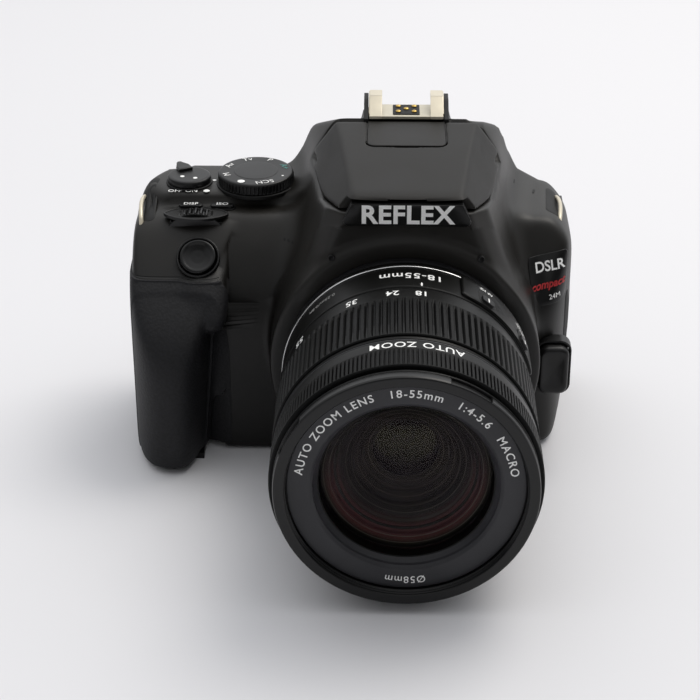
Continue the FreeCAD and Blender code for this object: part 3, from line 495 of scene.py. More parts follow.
front_glass = coated_glass("front_glass", linear(12, 13, 11), linear(74, 96, 66), linear(70, 26, 28))
window_glass = coated_glass("window_glass", linear(16, 18, 22), linear(60, 62, 80), linear(40, 44, 60))
screen_black = coated_glass("screen_black", linear(9, 10, 12), linear(40, 44, 60), linear(24, 26, 34), 0.05)
mirror_face = mirror_silver("mirror_face")
# Black parts, and dark inlays of painted shade that stand in for holes, slots and gaps not cut into the shell.
BLACK_PART_AND_PAINTED_SHADE = ("camera_body", "black_satin", deep_black)          # body, slot and material of the dark recesses
BODY_STEEL = ("camera_body", "bare_steel", bright_steel)   # and of the folded steel fixed to the body
print("glass ready")

# %% [markdown]
# ## The body's outside form
#
# The covers of such a camera are moulded as one flowing shape and then cut at the joint lines. Here the shape is a
# function that is negative inside the body: blocks bounded by planes with softened edges, joined with fillets. Rays
# cast from inside find the surface, so every cover is sampled from the same form and they meet without steps.

# %% The form as a function
def planes_through(corners, axes):
    """Outward planes (nx, ny, nz, d) through the sides of a convex counter-clockwise outline in two of the axes."""
    corners = np.asarray(corners, float)
    side = np.roll(corners, -1, 0) - corners
    normal = np.stack([side[:, 1], -side[:, 0]], 1) / np.linalg.norm(side, axis=1)[:, None]
    planes = np.zeros((len(corners), 4))
    planes[:, axes] = normal
    planes[:, 3] = (normal * corners).sum(1)
    return planes


def convex(points, planes, soft):
    """Softened largest distance outside the planes: soft * log(sum(exp((n.p - d) / soft)))."""
    out = points @ planes[:, :3].T - planes[:, 3]
    top = out.max(-1)
    return top + soft * np.log(np.exp((out - top[..., None]) / soft).sum(-1))


def joined(first, second, fillet):
    """Union of two forms with a fillet between them."""
    near = np.maximum(fillet - np.abs(first - second), 0) / fillet
    return np.minimum(first, second) - near * near * fillet / 4


def plane(nx, ny, nz, point):
    """One outward plane through a point."""
    normal = np.array([nx, ny, nz], float)
    normal /= np.linalg.norm(normal)
    return np.append(normal, normal @ np.asarray(point, float))


LEFT = np.vstack([planes_through([(-14, 0), (31, 0), (31, 66), (3, 66), (-5, 58.5), (-11.5, 48), (-14, 38)], [1, 2]),
                  [plane(-1, 0, 0, (-51.3, 0, 0)), plane(1, 0, 0, (4, 0, 0))]])
RIGHT = np.vstack([planes_through([(-10.5, 0), (31, 0), (31, 66), (1, 66), (-12, 42), (-12.2, 16)], [1, 2]),
                   [plane(1, 0, 0, (47, 0, 0)), plane(-1, 0, 0, (-4, 0, 0)), plane(8, 0, 6.5, (41, 0, 66)),
                    plane(14, -5, 0, (46.9, 1.5, 0)), plane(9, -9, 0, (44.6, -7, 0)),
                    plane(14, 0, -3.5, (46.9, 0, 14)), plane(4, 8, 0, (44, 31, 0))]])
GRIP_SIDE = planes_through([(-28.6, 0), (31, 0), (31, 66), (1, 66), (-1.5, 64), (-25.5, 42), (-30.4, 33), (-31.5, 23),
                            (-31, 9)], [1, 2])
GRIP_PLAN = planes_through([(-75.4, -16), (-72.8, -24), (-68.5, -29.6), (-64, -31.5), (-60, -31.5), (-57, -29.2),
                            (-54.6, -22), (-51.8, -12), (-46, 31), (-66, 31), (-75.4, 17)], [0, 1])
GRIP_PLAN[5:8, 2] -= 0.08
GRIP_PLAN[5:8, 3] -= 0.08 * 20
GRIP = np.vstack([GRIP_SIDE, GRIP_PLAN, [plane(-3, 0, 8, (-72.5, 0, 66))]])


def mirrored(*planes):
    """The planes and their images across X = 0."""
    planes = np.array(planes)
    return np.vstack([planes, planes * [-1, 1, 1, 1]])


HUMP_SIDES = mirrored(plane(1, -0.116, 0.36, (24, -20, 72)), plane(0.8, -0.6, 0.3, (16.5, -28, 79)))
HUMP_FRONT = np.vstack([HUMP_SIDES, [plane(0, -1, 0, (0, -27.1, 0)), plane(0, 0, 1, (0, 0, 77)),
                                     plane(0, 1, 0, (0, 30, 0)), plane(0, -1, -1, (0, -14, 42)),
                                     plane(0, 0, -1, (0, 0, 50))]])
BROW = np.vstack([HUMP_SIDES, [plane(0, -1, 0, (0, -27.9, 0)), plane(0, 0.2, 1, (0, -28, 80.35)),
                               plane(0, 1, 0, (0, -8, 0)), plane(0, -0.55, -1, (0, -27.9, 75.6))]])
HUMP_REAR = np.vstack([HUMP_SIDES, mirrored(plane(0.8, -0.1448, 0.6, (19.3, 15.2, 88))),
                       [plane(0, -1, 0, (0, 15.9, 0)), plane(0, 0.5, 1, (0, 17, 88.8)),
                        plane(0, 1, 0.1, (0, 34.4, 78)), plane(0, 1, -0.2, (0, 34, 66)),
                        plane(0, 0, -1, (0, 0, 55))]])
PEDESTAL = np.vstack([mirrored(plane(1, 0, 0.1, (12.2, 0, 88))),
                      planes_through([(16.2, 60), (33, 60), (33, 82.5), (28.2, 88), (16.2, 88)], [1, 2])])
POD = np.vstack([GRIP_SIDE, [plane(1, 0, -0.1, (-46.6, 0, 56)), plane(-1, 0, 0, (-58, 0, 0)),
                            plane(0, -1, 0, (0, -23, 0)), plane(0, 0, -1, (0, 0, 40))]]) - [0, 0, 0, 0.5]
FLARE = np.vstack([GRIP_SIDE, [plane(1, 0, -1, (-46.6, 0, 60)), plane(-1, 0, 0, (-58, 0, 0)),
                              plane(0, 0, -1, (0, 0, 52))]]) - [0, 0, 0, 0.5]
DECK = np.vstack([planes_through([(7.6, 60), (31, 60), (31, 69.2), (8.9, 69.2)], [1, 2]), GRIP_PLAN[9:11],
                  [plane(-1, 0, 0.9, (-72.6, 0, 69.2)), plane(1, 0, 0, (-20, 0, 0)),
                  plane(-1, -0.8, 0.9, (-66, 8.9, 69.2))]])


def bulge(points):
    """The round boss behind the lens mount."""
    radius = np.hypot(points[..., 0], points[..., 2] - LENS_Z)
    ends = np.stack([radius - 36.5, -points[..., 1] - 28.5, points[..., 1] - 20], -1) / 0.6
    return 0.6 * np.log(np.exp(np.clip(ends, -60, 60)).sum(-1))


def grip(points):
    return convex(points, GRIP, 1.5)


def shell(points):
    """Everything but the boss and the grip's lower front."""
    block = np.minimum(convex(points, LEFT, 0.8), convex(points, RIGHT, 1.1))
    handle = np.maximum(grip(points), -15.5 - points[..., 1])
    hump = np.minimum(convex(points, HUMP_FRONT, 0.5), convex(points, HUMP_REAR, 0.7))
    hump = joined(np.minimum(hump, convex(points, BROW, 0.3)), convex(points, PEDESTAL, 0.4), 0.8)
    crease = 1.2 + 4.5 * np.clip(-(points[..., 1] + 9) / 5, 0, 1) * np.clip((62 - points[..., 2]) / 8, 0, 1)
    pod = joined(convex(points, POD, 1.4), convex(points, FLARE, 1.0), 1.0)
    block = joined(np.minimum(block, pod), handle, crease)
    return joined(joined(block, convex(points, DECK, 0.9), 1.5), hump, 6.0)


def whole(points):
    return joined(joined(shell(points), grip(points), 2.0), bulge(points), 3.0)


def cast(form, origin, direction, reach, inset=0.0):
    """Where rays that start inside leave the form: halve the bracket until it is a thousandth of a millimetre."""
    near, far = np.zeros(direction.shape[:-1]), np.full(direction.shape[:-1], float(reach))
    for _ in range(18):
        middle = (near + far) / 2
        outside = form(origin + direction * middle[..., None]) + inset > 0
        far = np.where(outside, middle, far)
        near = np.where(outside, near, middle)
    return origin + direction * far[..., None]


print("inside the body", shell(np.array([[0, 8.5, 33.0], [-60, 0, 30], [40, 5, 30]])))

# %% [markdown]
# The main covers: sections across the body, one for each step along it, with the two ends fanned out to a point in
# the middle of each side face. The rays aim at a rectangle of the section's own size, which spaces them evenly.

# %% Main covers
def section_rays(half_y, half_z, step):
    """Unit directions in a section, evenly spaced round a rectangle."""
    ring = spaced([(half_y, 0), (half_y, half_z), (-half_y, half_z), (-half_y, -half_z), (half_y, -half_z),
                   (half_y, 0)], step)[:-1]
    return ring / np.linalg.norm(ring, axis=1)[:, None]


def capsule(form, left, right, centre, step, inset):
    """Grid of surface points: sections between two X stations, fans beyond them."""
    ring = section_rays(23.0, 33.0, step)
    turn = np.arctan(np.concatenate([np.linspace(0, 1.7, int(1.7 * 30 / step)), np.linspace(1.8, 12, 12)]))
    rows = []
    for side, station in ((-1, left), (1, right)):
        lean = turn if side < 0 else turn[::-1]
        direction = np.stack([np.broadcast_to(side * np.cos(lean)[:, None], (len(lean), len(ring))),
                              np.sin(lean)[:, None] * ring[:, 0], np.sin(lean)[:, None] * ring[:, 1]], -1)
        rows.append(cast(form, np.array([station, *centre], float), direction, 130, inset))
        if side < 0:
            x = np.arange(left, right, step)
            origin = np.stack([x, np.full(len(x), centre[0]), np.full(len(x), centre[1])], -1)[:, None, :]
            flat = np.broadcast_to(np.stack([0 * ring[:, 0], ring[:, 0], ring[:, 1]], -1), (len(x), len(ring), 3))
            rows.append(cast(form, origin, flat, 130, inset))
    return np.vstack(rows)


fine = 0.75
body_grid = capsule(shell, -45.0, 17.0, (8.5, 33.0), fine, 0.3)
body_grid[..., 2] = np.maximum(body_grid[..., 2], 0.02)
above = lambda c: (c[:, 2] > SEAM_Z) | ((c[:, 2] > RUBBER_TOP) & (c[:, 0] < -49.7) & (c[:, 1] < SPLIT_Y))
behind = lambda c: c[:, 1] > SPLIT_Y
under = lambda c: c[:, 2] < BASE_Z
middle = (0, 8.5, 33)
for name, keep, node in (("cover_top", above, "top_cover"),
                         ("cover_rear", lambda c: ~above(c) & ~under(c) & behind(c), "rear_cover"),
                         ("cover_front", lambda c: ~above(c) & ~under(c) & ~behind(c), "front_cover"),
                         ("cover_base", lambda c: ~above(c) & under(c), "bottom_cover")):
    piece = sheet(name, body_grid, "camera_body", "black_shell", shell_black, wrap=(False, True), inside=middle,
                  keep=keep, replaces=(node,), form=shell)
    print(name, len(piece.data.polygons), "faces")

# %% [markdown]
# The boss round the lens mount and the hump's lower front, seen from a point on the lens axis inside the body. The
# rings of rays are close together where the boss turns from its flat front down its side and out along the body.

# %% Mount surround
def boss(inset):
    """Grid of surface points round the lens axis, from just inside the steel ring to beyond the fillet."""
    start = np.array([0, 6.0, LENS_Z])
    lean = np.concatenate([np.arctan(np.linspace(32.1, 36.6, 12) / 34.5), np.linspace(0.824, 1.17, 64)[1:]])
    around = np.linspace(0, 2 * np.pi, 480, endpoint=False)
    direction = np.stack([np.sin(lean)[:, None] * np.cos(around), np.broadcast_to(-np.cos(lean)[:, None],
                          (len(lean), len(around))), np.sin(lean)[:, None] * np.sin(around)], -1)
    points = cast(whole_boss, start, direction, 90, inset)
    inner = points[:1].copy()
    inner[..., 1] += 3.0
    return np.vstack([inner, points])


def whole_boss(points):
    return joined(shell(points), bulge(points), 3.0)


piece = sheet("cover_mount", boss(0.22), "camera_body", "black_shell", shell_black, wrap=(False, True),
              inside=(0, 6, LENS_Z), keep=lambda c: c[:, 2] > 1.0, form=whole_boss)
print("cover_mount", len(piece.data.polygons), "faces")

# %% [markdown]
# The grip's rubber is a skin glued over the handle: it starts in the crease beside the lens, goes round the front and
# ends on the side. Rows follow its height, and its top and side edges roll inwards.

# %% Grip rubber
axis_line = np.array([-63.0, -8.0])   # the handle's inner upright, in plan


def grip_skin(low, high, inset):
    """Grid of surface points from rays that leave an upright line inside the handle."""
    sweep = np.radians(np.concatenate([np.linspace(-22, -112, 150), np.linspace(-112.8, -231, 130)[1:]]))
    height = np.linspace(low, high, 90)
    direction = np.stack([np.cos(sweep), np.sin(sweep), 0 * sweep], -1)[None] * np.ones((len(height), 1, 1))
    origin = np.stack([0 * height + axis_line[0], 0 * height + axis_line[1], height], -1)[:, None, :]
    return cast(lambda p: joined(grip(p), shell(p), 0.9), origin, direction, 60, inset)


skin = grip_skin(2.15, 52.5, 0.0)


def pulled(rows, amount):
    """The rows moved towards the handle's inner line by an amount, in plan."""
    toward = axis_line - rows[..., :2]
    toward /= np.linalg.norm(toward, axis=-1, keepdims=True)
    moved = rows.copy()
    moved[..., :2] += toward * amount
    return moved


top_roll = [pulled(skin[-1:], amount) + [0, 0, lift] for amount, lift in ((0.06, 0.25), (0.25, 0.42), (0.9, 0.45))]
low_roll = [pulled(skin[:1], amount) + [0, 0, -lift] for amount, lift in ((0.9, 0.12), (0.2, 0.1), (0.05, 0.06))]
skin = np.vstack([*low_roll, skin, *top_roll])
left_edge, right_edge = pulled(skin[:, :1], 0.9), pulled(skin[:, -1:], 0.9)
skin = np.hstack([left_edge, skin, right_edge])
sheet("grip_skin", skin, "camera_body", "grip_rubber", grip_black, inside=(*axis_line, 30), replaces=("grip_rubber",))

foot = grip_skin(0.03, 2.1, 0.35)
under_foot = foot[:1] * [1, 1, 0]
foot = np.concatenate([under_foot + (np.array([*axis_line, 0.02]) - under_foot) * 0.9, foot])
sheet("grip_foot", foot, "camera_body", "black_shell", smooth_black, inside=(*axis_line, 30))
print("grip rubber", skin.shape)

# %% [markdown]
# ## Flash head
#
# The lid over the lamp is a thin moulding shaped like a horseshoe: a broad nose in front and two arms that reach back
# past the fixed tongue to the hinge. Its cross-section is swept round the horseshoe, with rays that find the faceted
# outside: a flat central panel, two falling side facets, blunt front corners.

# %% Flash head form
HEAD = np.vstack([mirrored(plane(1, -0.116, 0.36, (24.2, -20, 72)), plane(0.8, -0.1448, 0.6, (19.3, 15.2, 88)),
                           plane(0.8, -0.6, 0.3, (16.9, -28, 79))),
                  planes_through([(-28, 80.5), (-12, 77.3), (15.6, 77.3), (15.6, 88), (0, 87.2), (-26.5, 84.6),
                                  (-28, 83.9)],
                                 [1, 2])])


def head(points):
    """The lid: faceted outside, less the tongue's cut, the hinge relief and the name plate's room."""
    x, y, z = np.abs(points[..., 0]), points[..., 1], points[..., 2]
    corner = np.hypot(np.maximum(x - 8.4, 0), np.maximum(-y + 2.3, 0))
    tongue = np.where((x < 8.4) & (y > 2.3), -8.0, corner) - 2.6
    relief = np.minimum(y - 8, 79.5 - z)
    name_room = np.minimum(np.minimum(16.9 - x, -25.3 - y), 83.2 - z)
    return np.maximum.reduce([convex(points, HEAD, 0.28), -tongue, relief, name_room])


def horseshoe():
    """Grid round the lid: stations along the horseshoe, section rays at each."""
    turn = np.linspace(0, -np.pi, 170)
    nose_centre = np.stack([17.4 * np.cos(turn), 3 - 16.5 * np.abs(np.sin(turn)) ** 0.8, 80.7 + 0 * turn], -1)
    outward = np.stack([np.cos(turn), np.sin(turn)], -1)
    arm = np.linspace(15.3, 3.2, 20)
    right = np.stack([17.4 + 0 * arm, arm, 82.2 + 0 * arm], -1)
    right[:, 2] = np.interp(arm, [3, 9, 15], [80.7, 82.6, 83.2])
    left = right[::-1] * [-1, 1, 1]
    centre = np.vstack([right, nose_centre, left])
    outward = np.vstack([np.tile([1, 0], (20, 1)), outward, np.tile([-1, 0], (20, 1))])
    ring = section_rays(9.0, 5.0, 0.28)
    direction = np.concatenate([outward[:, None, :] * ring[None, :, :1],
                                np.broadcast_to(ring[None, :, 1:], (len(centre), len(ring), 1))], -1)
    points = cast(head, centre[:, None, :], direction, 60)
    first, last = (0 * end + end.mean(1, keepdims=True) for end in (points[:1], points[-1:]))
    return np.vstack([first, points, last])


lid = solid("flash_lid", horseshoe(), "flash_head", "black_shell", head_black, (False, True), sharp=50,
            replaces=("flash_head",))
print("flash_lid", len(lid.data.polygons), "faces")

# %% [markdown]
# Under the lid sits the lamp's frosted window, a ribbed lens in clear plastic. It shows when the head is up. The
# tongue between the arms is part of the top cover and carries the shoe; the name plate closes the lid's front.

# %% Lamp, tongue and name plate
window = rounded_rectangle(14.0, 5.4, 1.2)
prism("flash_lamp", window, 0, 0.6, frame_at((0, -15.8, 77.75), (1, 0, 0), (0, -1, 0)), "flash_head", "optical_glass",
      window_glass, bevel=0.15, replaces=("flash_window",))


def tongue_outline(half, front, corner, rear):
    """Plan outline of the tongue: straight sides and a round-cornered front end."""
    t = np.linspace(0, np.pi / 2, 9)
    right = np.column_stack([half - corner + corner * np.cos(t), front + corner - corner * np.sin(t)])
    left = right[::-1] * [-1, 1]
    return np.vstack([[(half, rear)], right, left, [(-half, rear)]])[::-1]


def tongue_top(points):
    """Tilt the flat top of the tongue a little forward, following the lid."""
    moved = points.copy()
    moved[..., 2] += np.where(points[..., 2] > 80, -0.035 * (15.8 - points[..., 1]), 0)
    return moved


prism("cover_tongue", tongue_outline(10.6, 0.1, 2.2, 16.2), 76, 87.75, tongue_top, "camera_body", "black_shell",
      head_black, bevel=0.35)


def name_outline(grow):
    """Front outline of the name plate: narrower at the top, with pointed lower ends."""
    right = np.array([(14.3, 82.6), (16.2, 78.6), (16.5, 77.9), (16.3, 77.3), (15.6, 76.6)]) + [grow, 0]
    left = right[::-1] * [-1, 1]
    top = np.array([(-14.3 + 28.6 * t, 82.6) for t in (0.2, 0.5, 0.8)])
    base = np.array([(15.6 - 31.2 * t, 76.6) for t in (0.2, 0.5, 0.8)])
    return np.vstack([top, right, base, left])[::-1]


in_front = lambda p: np.stack([p[..., 0], -28.0 - p[..., 2], p[..., 1]], -1)
prism("name_face", name_outline(0), 0.0, 0.55, in_front, "camera_body", "gloss_trim", satin_black, bevel=0.25,
      replaces=("name_plate",))
prism("name_back", name_outline(0) + [0, 0.15], -1.6, -0.02, in_front, "camera_body", "black_shell",
      deep_black, bevel=0.1)

# %% [markdown]
# ## Accessory shoe
#
# Two folded steel rails stand on a steel plate, open to the rear. A black insert between them carries the contacts.

# %% Shoe
def bar_block(name, low, high, body, slot, material, bevel=0.15, replaces=(), corner=0.3):
    """An upright block between two corners with softened top edges."""
    low, high = np.asarray(low, float), np.asarray(high, float)
    half = (high - low) / 2
    outline = rounded_rectangle(half[0], half[1], min(corner, half[0] * 0.9, half[1] * 0.9), 4)
    centre = (low + high) / 2
    return prism(name, outline, low[2], high[2], frame_at((centre[0], centre[1], 0), (1, 0, 0), (0, 1, 0)), body,
                 slot, material, bevel=bevel, replaces=replaces)


side_on = frame_at((0, 0, 0), (0, 1, 0), (0, 0, 1))
bar_block("shoe_plate", (-10.3, 17.4, 88.0), (10.3, 26.6, 88.75), "camera_body", "bare_steel", steel)
for side, label in ((-1, "left"), (1, "right")):
    inner, outer = sorted((side * 9.5, side * 10.35))
    prism(f"shoe_wall_{label}", spaced([(18.4, 88.5), (27.6, 88.5), (27.6, 92.3), (23.6, 92.3), (18.4, 89.2)], 0.8),
          inner, outer, side_on, *BODY_STEEL, bevel=0.1)
    inner, outer = sorted((side * 6.7, side * 10.1))
    prism(f"shoe_rail_{label}", spaced([(22.6, 91.4), (27.6, 91.4), (27.6, 92.6), (23.2, 92.6)], 0.8), inner, outer,
          side_on, *BODY_STEEL, bevel=0.15, replaces=("hot_shoe",) if side < 0 else ())
    prism(f"shoe_ramp_{label}", spaced([(16.9, 88.2), (18.8, 88.2), (24.4, 91.7), (23.3, 92.6), (17.0, 88.9)], 0.8),
          inner, outer, side_on, *BODY_STEEL, bevel=0.15)
    inner, outer = sorted((side * 10.5, side * 11.7))
    prism(f"shoe_kerb_{label}", spaced([(16.1, 87.4), (28.4, 87.4), (28.4, 91.4), (23.6, 91.4), (16.3, 88.4)], 0.8),
          inner, outer, side_on, "camera_body", "black_shell", deep_black, bevel=0.2)
bar_block("shoe_insert_block", (-3.7, 18.6, 88.4), (3.7, 25.8, 89.0), *BLACK_PART_AND_PAINTED_SHADE, replaces=("shoe_insert",))
for index, (x, y) in enumerate(((0, 22.4), (-2.2, 20.4), (2.2, 20.4), (-2.2, 24.4), (2.2, 24.4))):
    lathe(f"shoe_contact_{index}", [(0, 0), (0.75, 0), (0.75, 0.3), (0.4, 0.5), (0, 0.5)], (x, y, 88.95), (0, 0, 1),
          "camera_body", "bare_steel", brass, turns=24, soften=0.08)
print("shoe ready")

# %% [markdown]
# ## Controls on top
#
# The mode dial and the power switch are knurled knobs of satin plastic with a dished, finer top; the front finger
# dial stands on edge and shows through an eye-shaped well; the shutter button is a glossy shallow cup on the sloping
# front.

# %% Knobs
def knurl(count, depth, start, end, outer):
    """Radius change for rounded knurls between two heights on the rim."""
    def relief(r, a, t):
        rim = np.clip((r - outer + 0.35) / 0.3, 0, 1)
        along = np.clip((a - start) / 0.25, 0, 1) * np.clip((end - a) / 0.25, 0, 1)
        return r - depth * rim * along * np.clip(0.5 - 0.9 * np.cos(count * t), 0, 1)
    return relief


mode_at = (-41.8, 17, 0)
lathe("mode_knob", [(0, 63), (4, 63), (4, 69.45), (10.4, 69.45), (10.6, 69.7), (10.6, 71.75), (10.2, 72.35),
                    (9.8, 72.5), (0, 72.5)], mode_at, (0, 0, 1), "mode_dial", "black_satin", smooth_black, turns=720,
      relief=knurl(60, 0.35, 69.6, 71.9, 10.6), replaces=("mode_dial",), step=0.8)
lathe("mode_cap", [(0, 72.2), (6.2, 72.2), (6.2, 72.52), (6.0, 72.6), (0, 72.6)], mode_at, (0, 0, 1), "mode_dial",
      "black_satin", smooth_black, turns=96)
lathe("mode_base", [(0, 68.2), (11.1, 68.2), (11.1, 69.2), (10.9, 69.35), (0, 69.35)], mode_at, (0, 0, 1), *BLACK_PART_AND_PAINTED_SHADE,
      turns=96)

power_at = (-60.5, 17, 0)
lathe("power_knob", [(0, 63), (3, 63), (3, 69.45), (5.9, 69.45), (6.1, 69.6), (6.1, 70.6), (5.8, 71.1), (5.2, 71.25),
                     (0, 71.25)], power_at, (0, 0, 1), "power_switch", "black_satin", smooth_black,
      turns=120, replaces=("power_switch",), step=0.7)


def lever_outline():
    """Plan outline of the switch's pointer, rounded at its tip."""
    t = np.linspace(-np.pi / 2, np.pi / 2, 9)
    tip = np.column_stack([7.4 + 0.9 * np.cos(t), 0.9 * np.sin(t)])
    return np.vstack([[(2.5, -2.0), (5.0, -2.0)], tip, [(5.0, 2.0), (2.5, 2.0)]])


prism("power_lever", lever_outline(), 69.5, 72.1, frame_at((-60.5, 17, 0), (-0.5, 1, 0), (-1, -0.5, 0)),
      "power_switch", "black_satin", smooth_black, bevel=0.4)
for index, (across, along) in enumerate(((-1.8, -1.6), (1.9, -2.6))):
    lathe(f"power_dot_{index}", [(0, 71.1), (0.6, 71.1), (0.6, 71.3), (0, 71.3)], (-60.5 + across, 17 + along, 0),
          (0, 0, 1), "power_switch", "gloss_trim", white_ink, turns=20, soften=0.03)
lathe("power_base", [(0, 68.2), (6.5, 68.2), (6.5, 69.2), (6.3, 69.35), (0, 69.35)], power_at, (0, 0, 1), *BLACK_PART_AND_PAINTED_SHADE,
      turns=72)

print("knobs ready")

# %% [markdown]
# The finger dial is a wheel on edge, buried to its axle: only an arc of its knurled rim stands out of the shell.
# Modelling the whole wheel costs little and lets it turn; the hole is then a dark eye-shaped inlay of painted shade,
# in place of the deep gap round the wheel, with a raised lip.

# %% Finger dial and its well
lathe("main_wheel", [(0, -1.9), (1.4, -1.9), (1.4, 0.1), (9.4, 0.1), (9.9, 0.5), (9.9, 3.9), (9.4, 4.3), (1.4, 4.3),
                     (1.4, 6.3), (0, 6.3)], (-57.5, -0.2, 57.2), (0, 1, 0), "main_dial", "black_satin", satin_black,
      turns=640, relief=knurl(40, 0.8, 0.2, 4.2, 9.9), replaces=("main_dial",), step=0.8, soften=0.2)


def eye_outline(half, rise, power=1.35):
    """Outline shaped like an eye: two arcs that meet in soft points."""
    t = np.linspace(0, 2 * np.pi, 72, endpoint=False)
    return np.column_stack([half * np.cos(t), rise * np.sign(np.sin(t)) * np.abs(np.sin(t)) ** power])


well_map = frame_at((-57.5, 1.0, 0), (1, 0, 0), (0, 1, -0.02))
# Painted shade: a dark eye-shaped inlay stands in for the deep gap round the finger dial.
prism("dial_well", eye_outline(8.6, 4.3), 65.2, 65.92, well_map, *BLACK_PART_AND_PAINTED_SHADE, bevel=0.05)


def rim(name, outline, width, low, high, place, body, slot, material):
    """A raised lip round an outline: a closed strip with a rounded top."""
    middle = outline.mean(0)
    reach = outline - middle
    unit = reach / np.linalg.norm(reach, axis=1, keepdims=True)
    section = [(0, low), (0, high - 0.1), (width * 0.25, high), (width * 0.75, high), (width, high - 0.1),
               (width, low)]
    grid = np.array([np.column_stack([outline + unit * out, np.full(len(outline), w)]) for out, w in section])
    return solid(name, place(grid), body, slot, material, (True, True))


rim("dial_lip", eye_outline(8.4, 4.1), 0.55, 65.3, 66.12, well_map, "camera_body", "black_satin", smooth_black)

print("finger dial ready")

# %% [markdown]
# The shutter button is a shallow cup turned about the sloping front's own upright, in a collar that stays on the body
# when the cup goes down. The two small buttons are oblong prisms in dark wells of painted shade, mapped straight onto
# the flat above.

# %% Shutter button and the two oblong buttons
slope_out = np.array([0, -math.sin(math.radians(43)), math.cos(math.radians(43))])
press_at = np.array([-56.3, -8.5, 57.6])
lathe("shutter_cap", [(0, -2.3), (5.0, -2.3), (5.0, 0.7), (4.8, 1.15), (4.3, 1.25), (3.6, 1.0), (2.0, 0.72),
                      (0, 0.66)], press_at, slope_out, "shutter_button", "gloss_trim", gloss_black, turns=128,
      replaces=("shutter_button",), step=0.4)
lathe("shutter_collar", [(5.15, -1.0), (6.0, -1.0), (6.0, 0.35), (5.7, 0.6), (5.35, 0.5), (5.15, 0.2)], press_at,
      slope_out, "camera_body", "black_satin", smooth_black, turns=128, step=0.4)
for label, node, x in (("display", "display_button", -59.3), ("iso", "iso_button", -50.6)):
    flat = frame_at((x, 6.6, 0), (1, 0, 0), (0, 1, 0))
    prism(f"{label}_cap", rounded_rectangle(3.25, 1.15, 1.1), 63, 66.75, flat, node, "black_satin", smooth_black,
          bevel=0.3, replaces=(node,))
    # Painted shade: a dark well stands in for the gap round each button.
    prism(f"{label}_well", rounded_rectangle(3.75, 1.65, 1.6), 65.2, 65.95, flat, *BLACK_PART_AND_PAINTED_SHADE, bevel=0.1)
print("controls ready")

# %% [markdown]
# ## The lens
#
# Everything on the lens is turned about its axis, so each part is a profile measured forward from the mount's flange.
# The zoom ring carries long rubber ribs, the focus ring short fine ones, and the front rim has hood notches.

# %% Lens barrels and rings
AXIS = (0, -1, 0)
FLANGE = (0, FLANGE_Y, LENS_Z)


def on_lens(name, profile, body, slot, material, **options):
    """A part turned about the lens axis, measured forward from the flange."""
    return lathe(name, profile, FLANGE, AXIS, body, slot, material, **options)


def ribs(count, depth, start, end, outer, share=0.38, edge=0.5):
    """Radius change for grooves of a share of the pitch, between two stations along the ring."""
    def relief(r, a, t):
        phase = np.abs(((t * count / (2 * np.pi)) % 1.0) - 0.5) * 2
        groove = np.clip((share - phase) / 0.16 + 0.5, 0, 1)
        along = np.clip((a - start) / edge, 0, 1) * np.clip((end - a) / edge, 0, 1)
        return r - depth * groove * along * (r > outer - 0.6)
    return relief


on_lens("lens_tube", [(24, 1.2), (31.9, 1.2), (32.4, 1.7), (32.4, 3.2), (32.1, 3.4), (32.1, 4.6), (32.5, 4.8),
                      (32.6, 15.6), (32.3, 15.95), (30.0, 15.95), (30.0, 42), (28.5, 42), (28.5, 8), (24, 8)], "lens",
        "black_satin", barrel_black, turns=256, replaces=("lens_rear_barrel",), step=1.2, soften=0.15)
on_lens("lens_silver_line", [(32.0, 3.5), (32.62, 3.5), (32.72, 3.8), (32.72, 4.3), (32.62, 4.55), (32.0, 4.55)],
        "lens", "chrome_ring", chrome, turns=256, soften=0.1)
on_lens("zoom_collar", [(30.4, 16.3), (32.3, 16.3), (32.6, 16.6), (32.6, 22.4), (32.2, 22.8), (32.2, 23.2),
                        (32.6, 42.7), (32.4, 43.5), (30.4, 43.5)], "zoom_ring", "black_satin", barrel_black,
        turns=256, step=1.2, soften=0.12)
on_lens("zoom_rubber", [(32.0, 23.0), (32.9, 23.0), (33.25, 23.3), (33.25, 42.2), (32.9, 42.5), (32.0, 42.5)],
        "zoom_ring", "ring_rubber", ring_black, turns=112 * 10, relief=ribs(112, 0.8, 23.7, 42.0, 33.25), step=1.0,
        soften=0.15, replaces=("zoom_ring",), sharp=45)
on_lens("head_tube", [(26.5, 12), (28.2, 12), (28.2, 44.2), (32.5, 44.2), (32.85, 44.5), (32.85, 44.9), (32.65, 45.0),
                      (32.85, 45.1), (32.85, 49.0), (32.6, 49.3), (30.4, 49.3), (30.4, 58.0), (26.5, 58.0),
                      (26.5, 56.5), (21.2, 56.5), (21.2, 50), (17, 50), (17, 46), (26.5, 46)], "front_barrel",
        "black_satin", barrel_black, turns=256, replaces=("front_barrel",), step=1.5, soften=0.1)
on_lens("head_line", [(32.4, 44.75), (32.9, 44.75), (32.93, 44.95), (32.9, 45.1), (32.4, 45.1)], "front_barrel",
        "chrome_ring", alloy, turns=256, soften=0.05)
on_lens("focus_rubber", [(30.6, 49.6), (32.9, 49.6), (33.25, 49.9), (33.25, 57.5), (32.9, 57.8), (30.6, 57.8)],
        "focus_ring", "ring_rubber", ring_black, turns=190 * 8, relief=ribs(190, 0.5, 50.2, 57.2, 33.25, 0.42, 0.35),
        step=0.9, soften=0.15, replaces=("focus_ring",), sharp=45)


def hood_notches(r, a, t):
    """Shallow cuts in the outside of the rim where a hood's claws enter, and a step between them."""
    turn = np.degrees(t) % 90
    notch = ((turn > 52) & (turn < 72)).astype(float)
    band = (a > 59.0) & (a < 61.4) & (r > 31.8)
    return r - 0.55 * notch * band


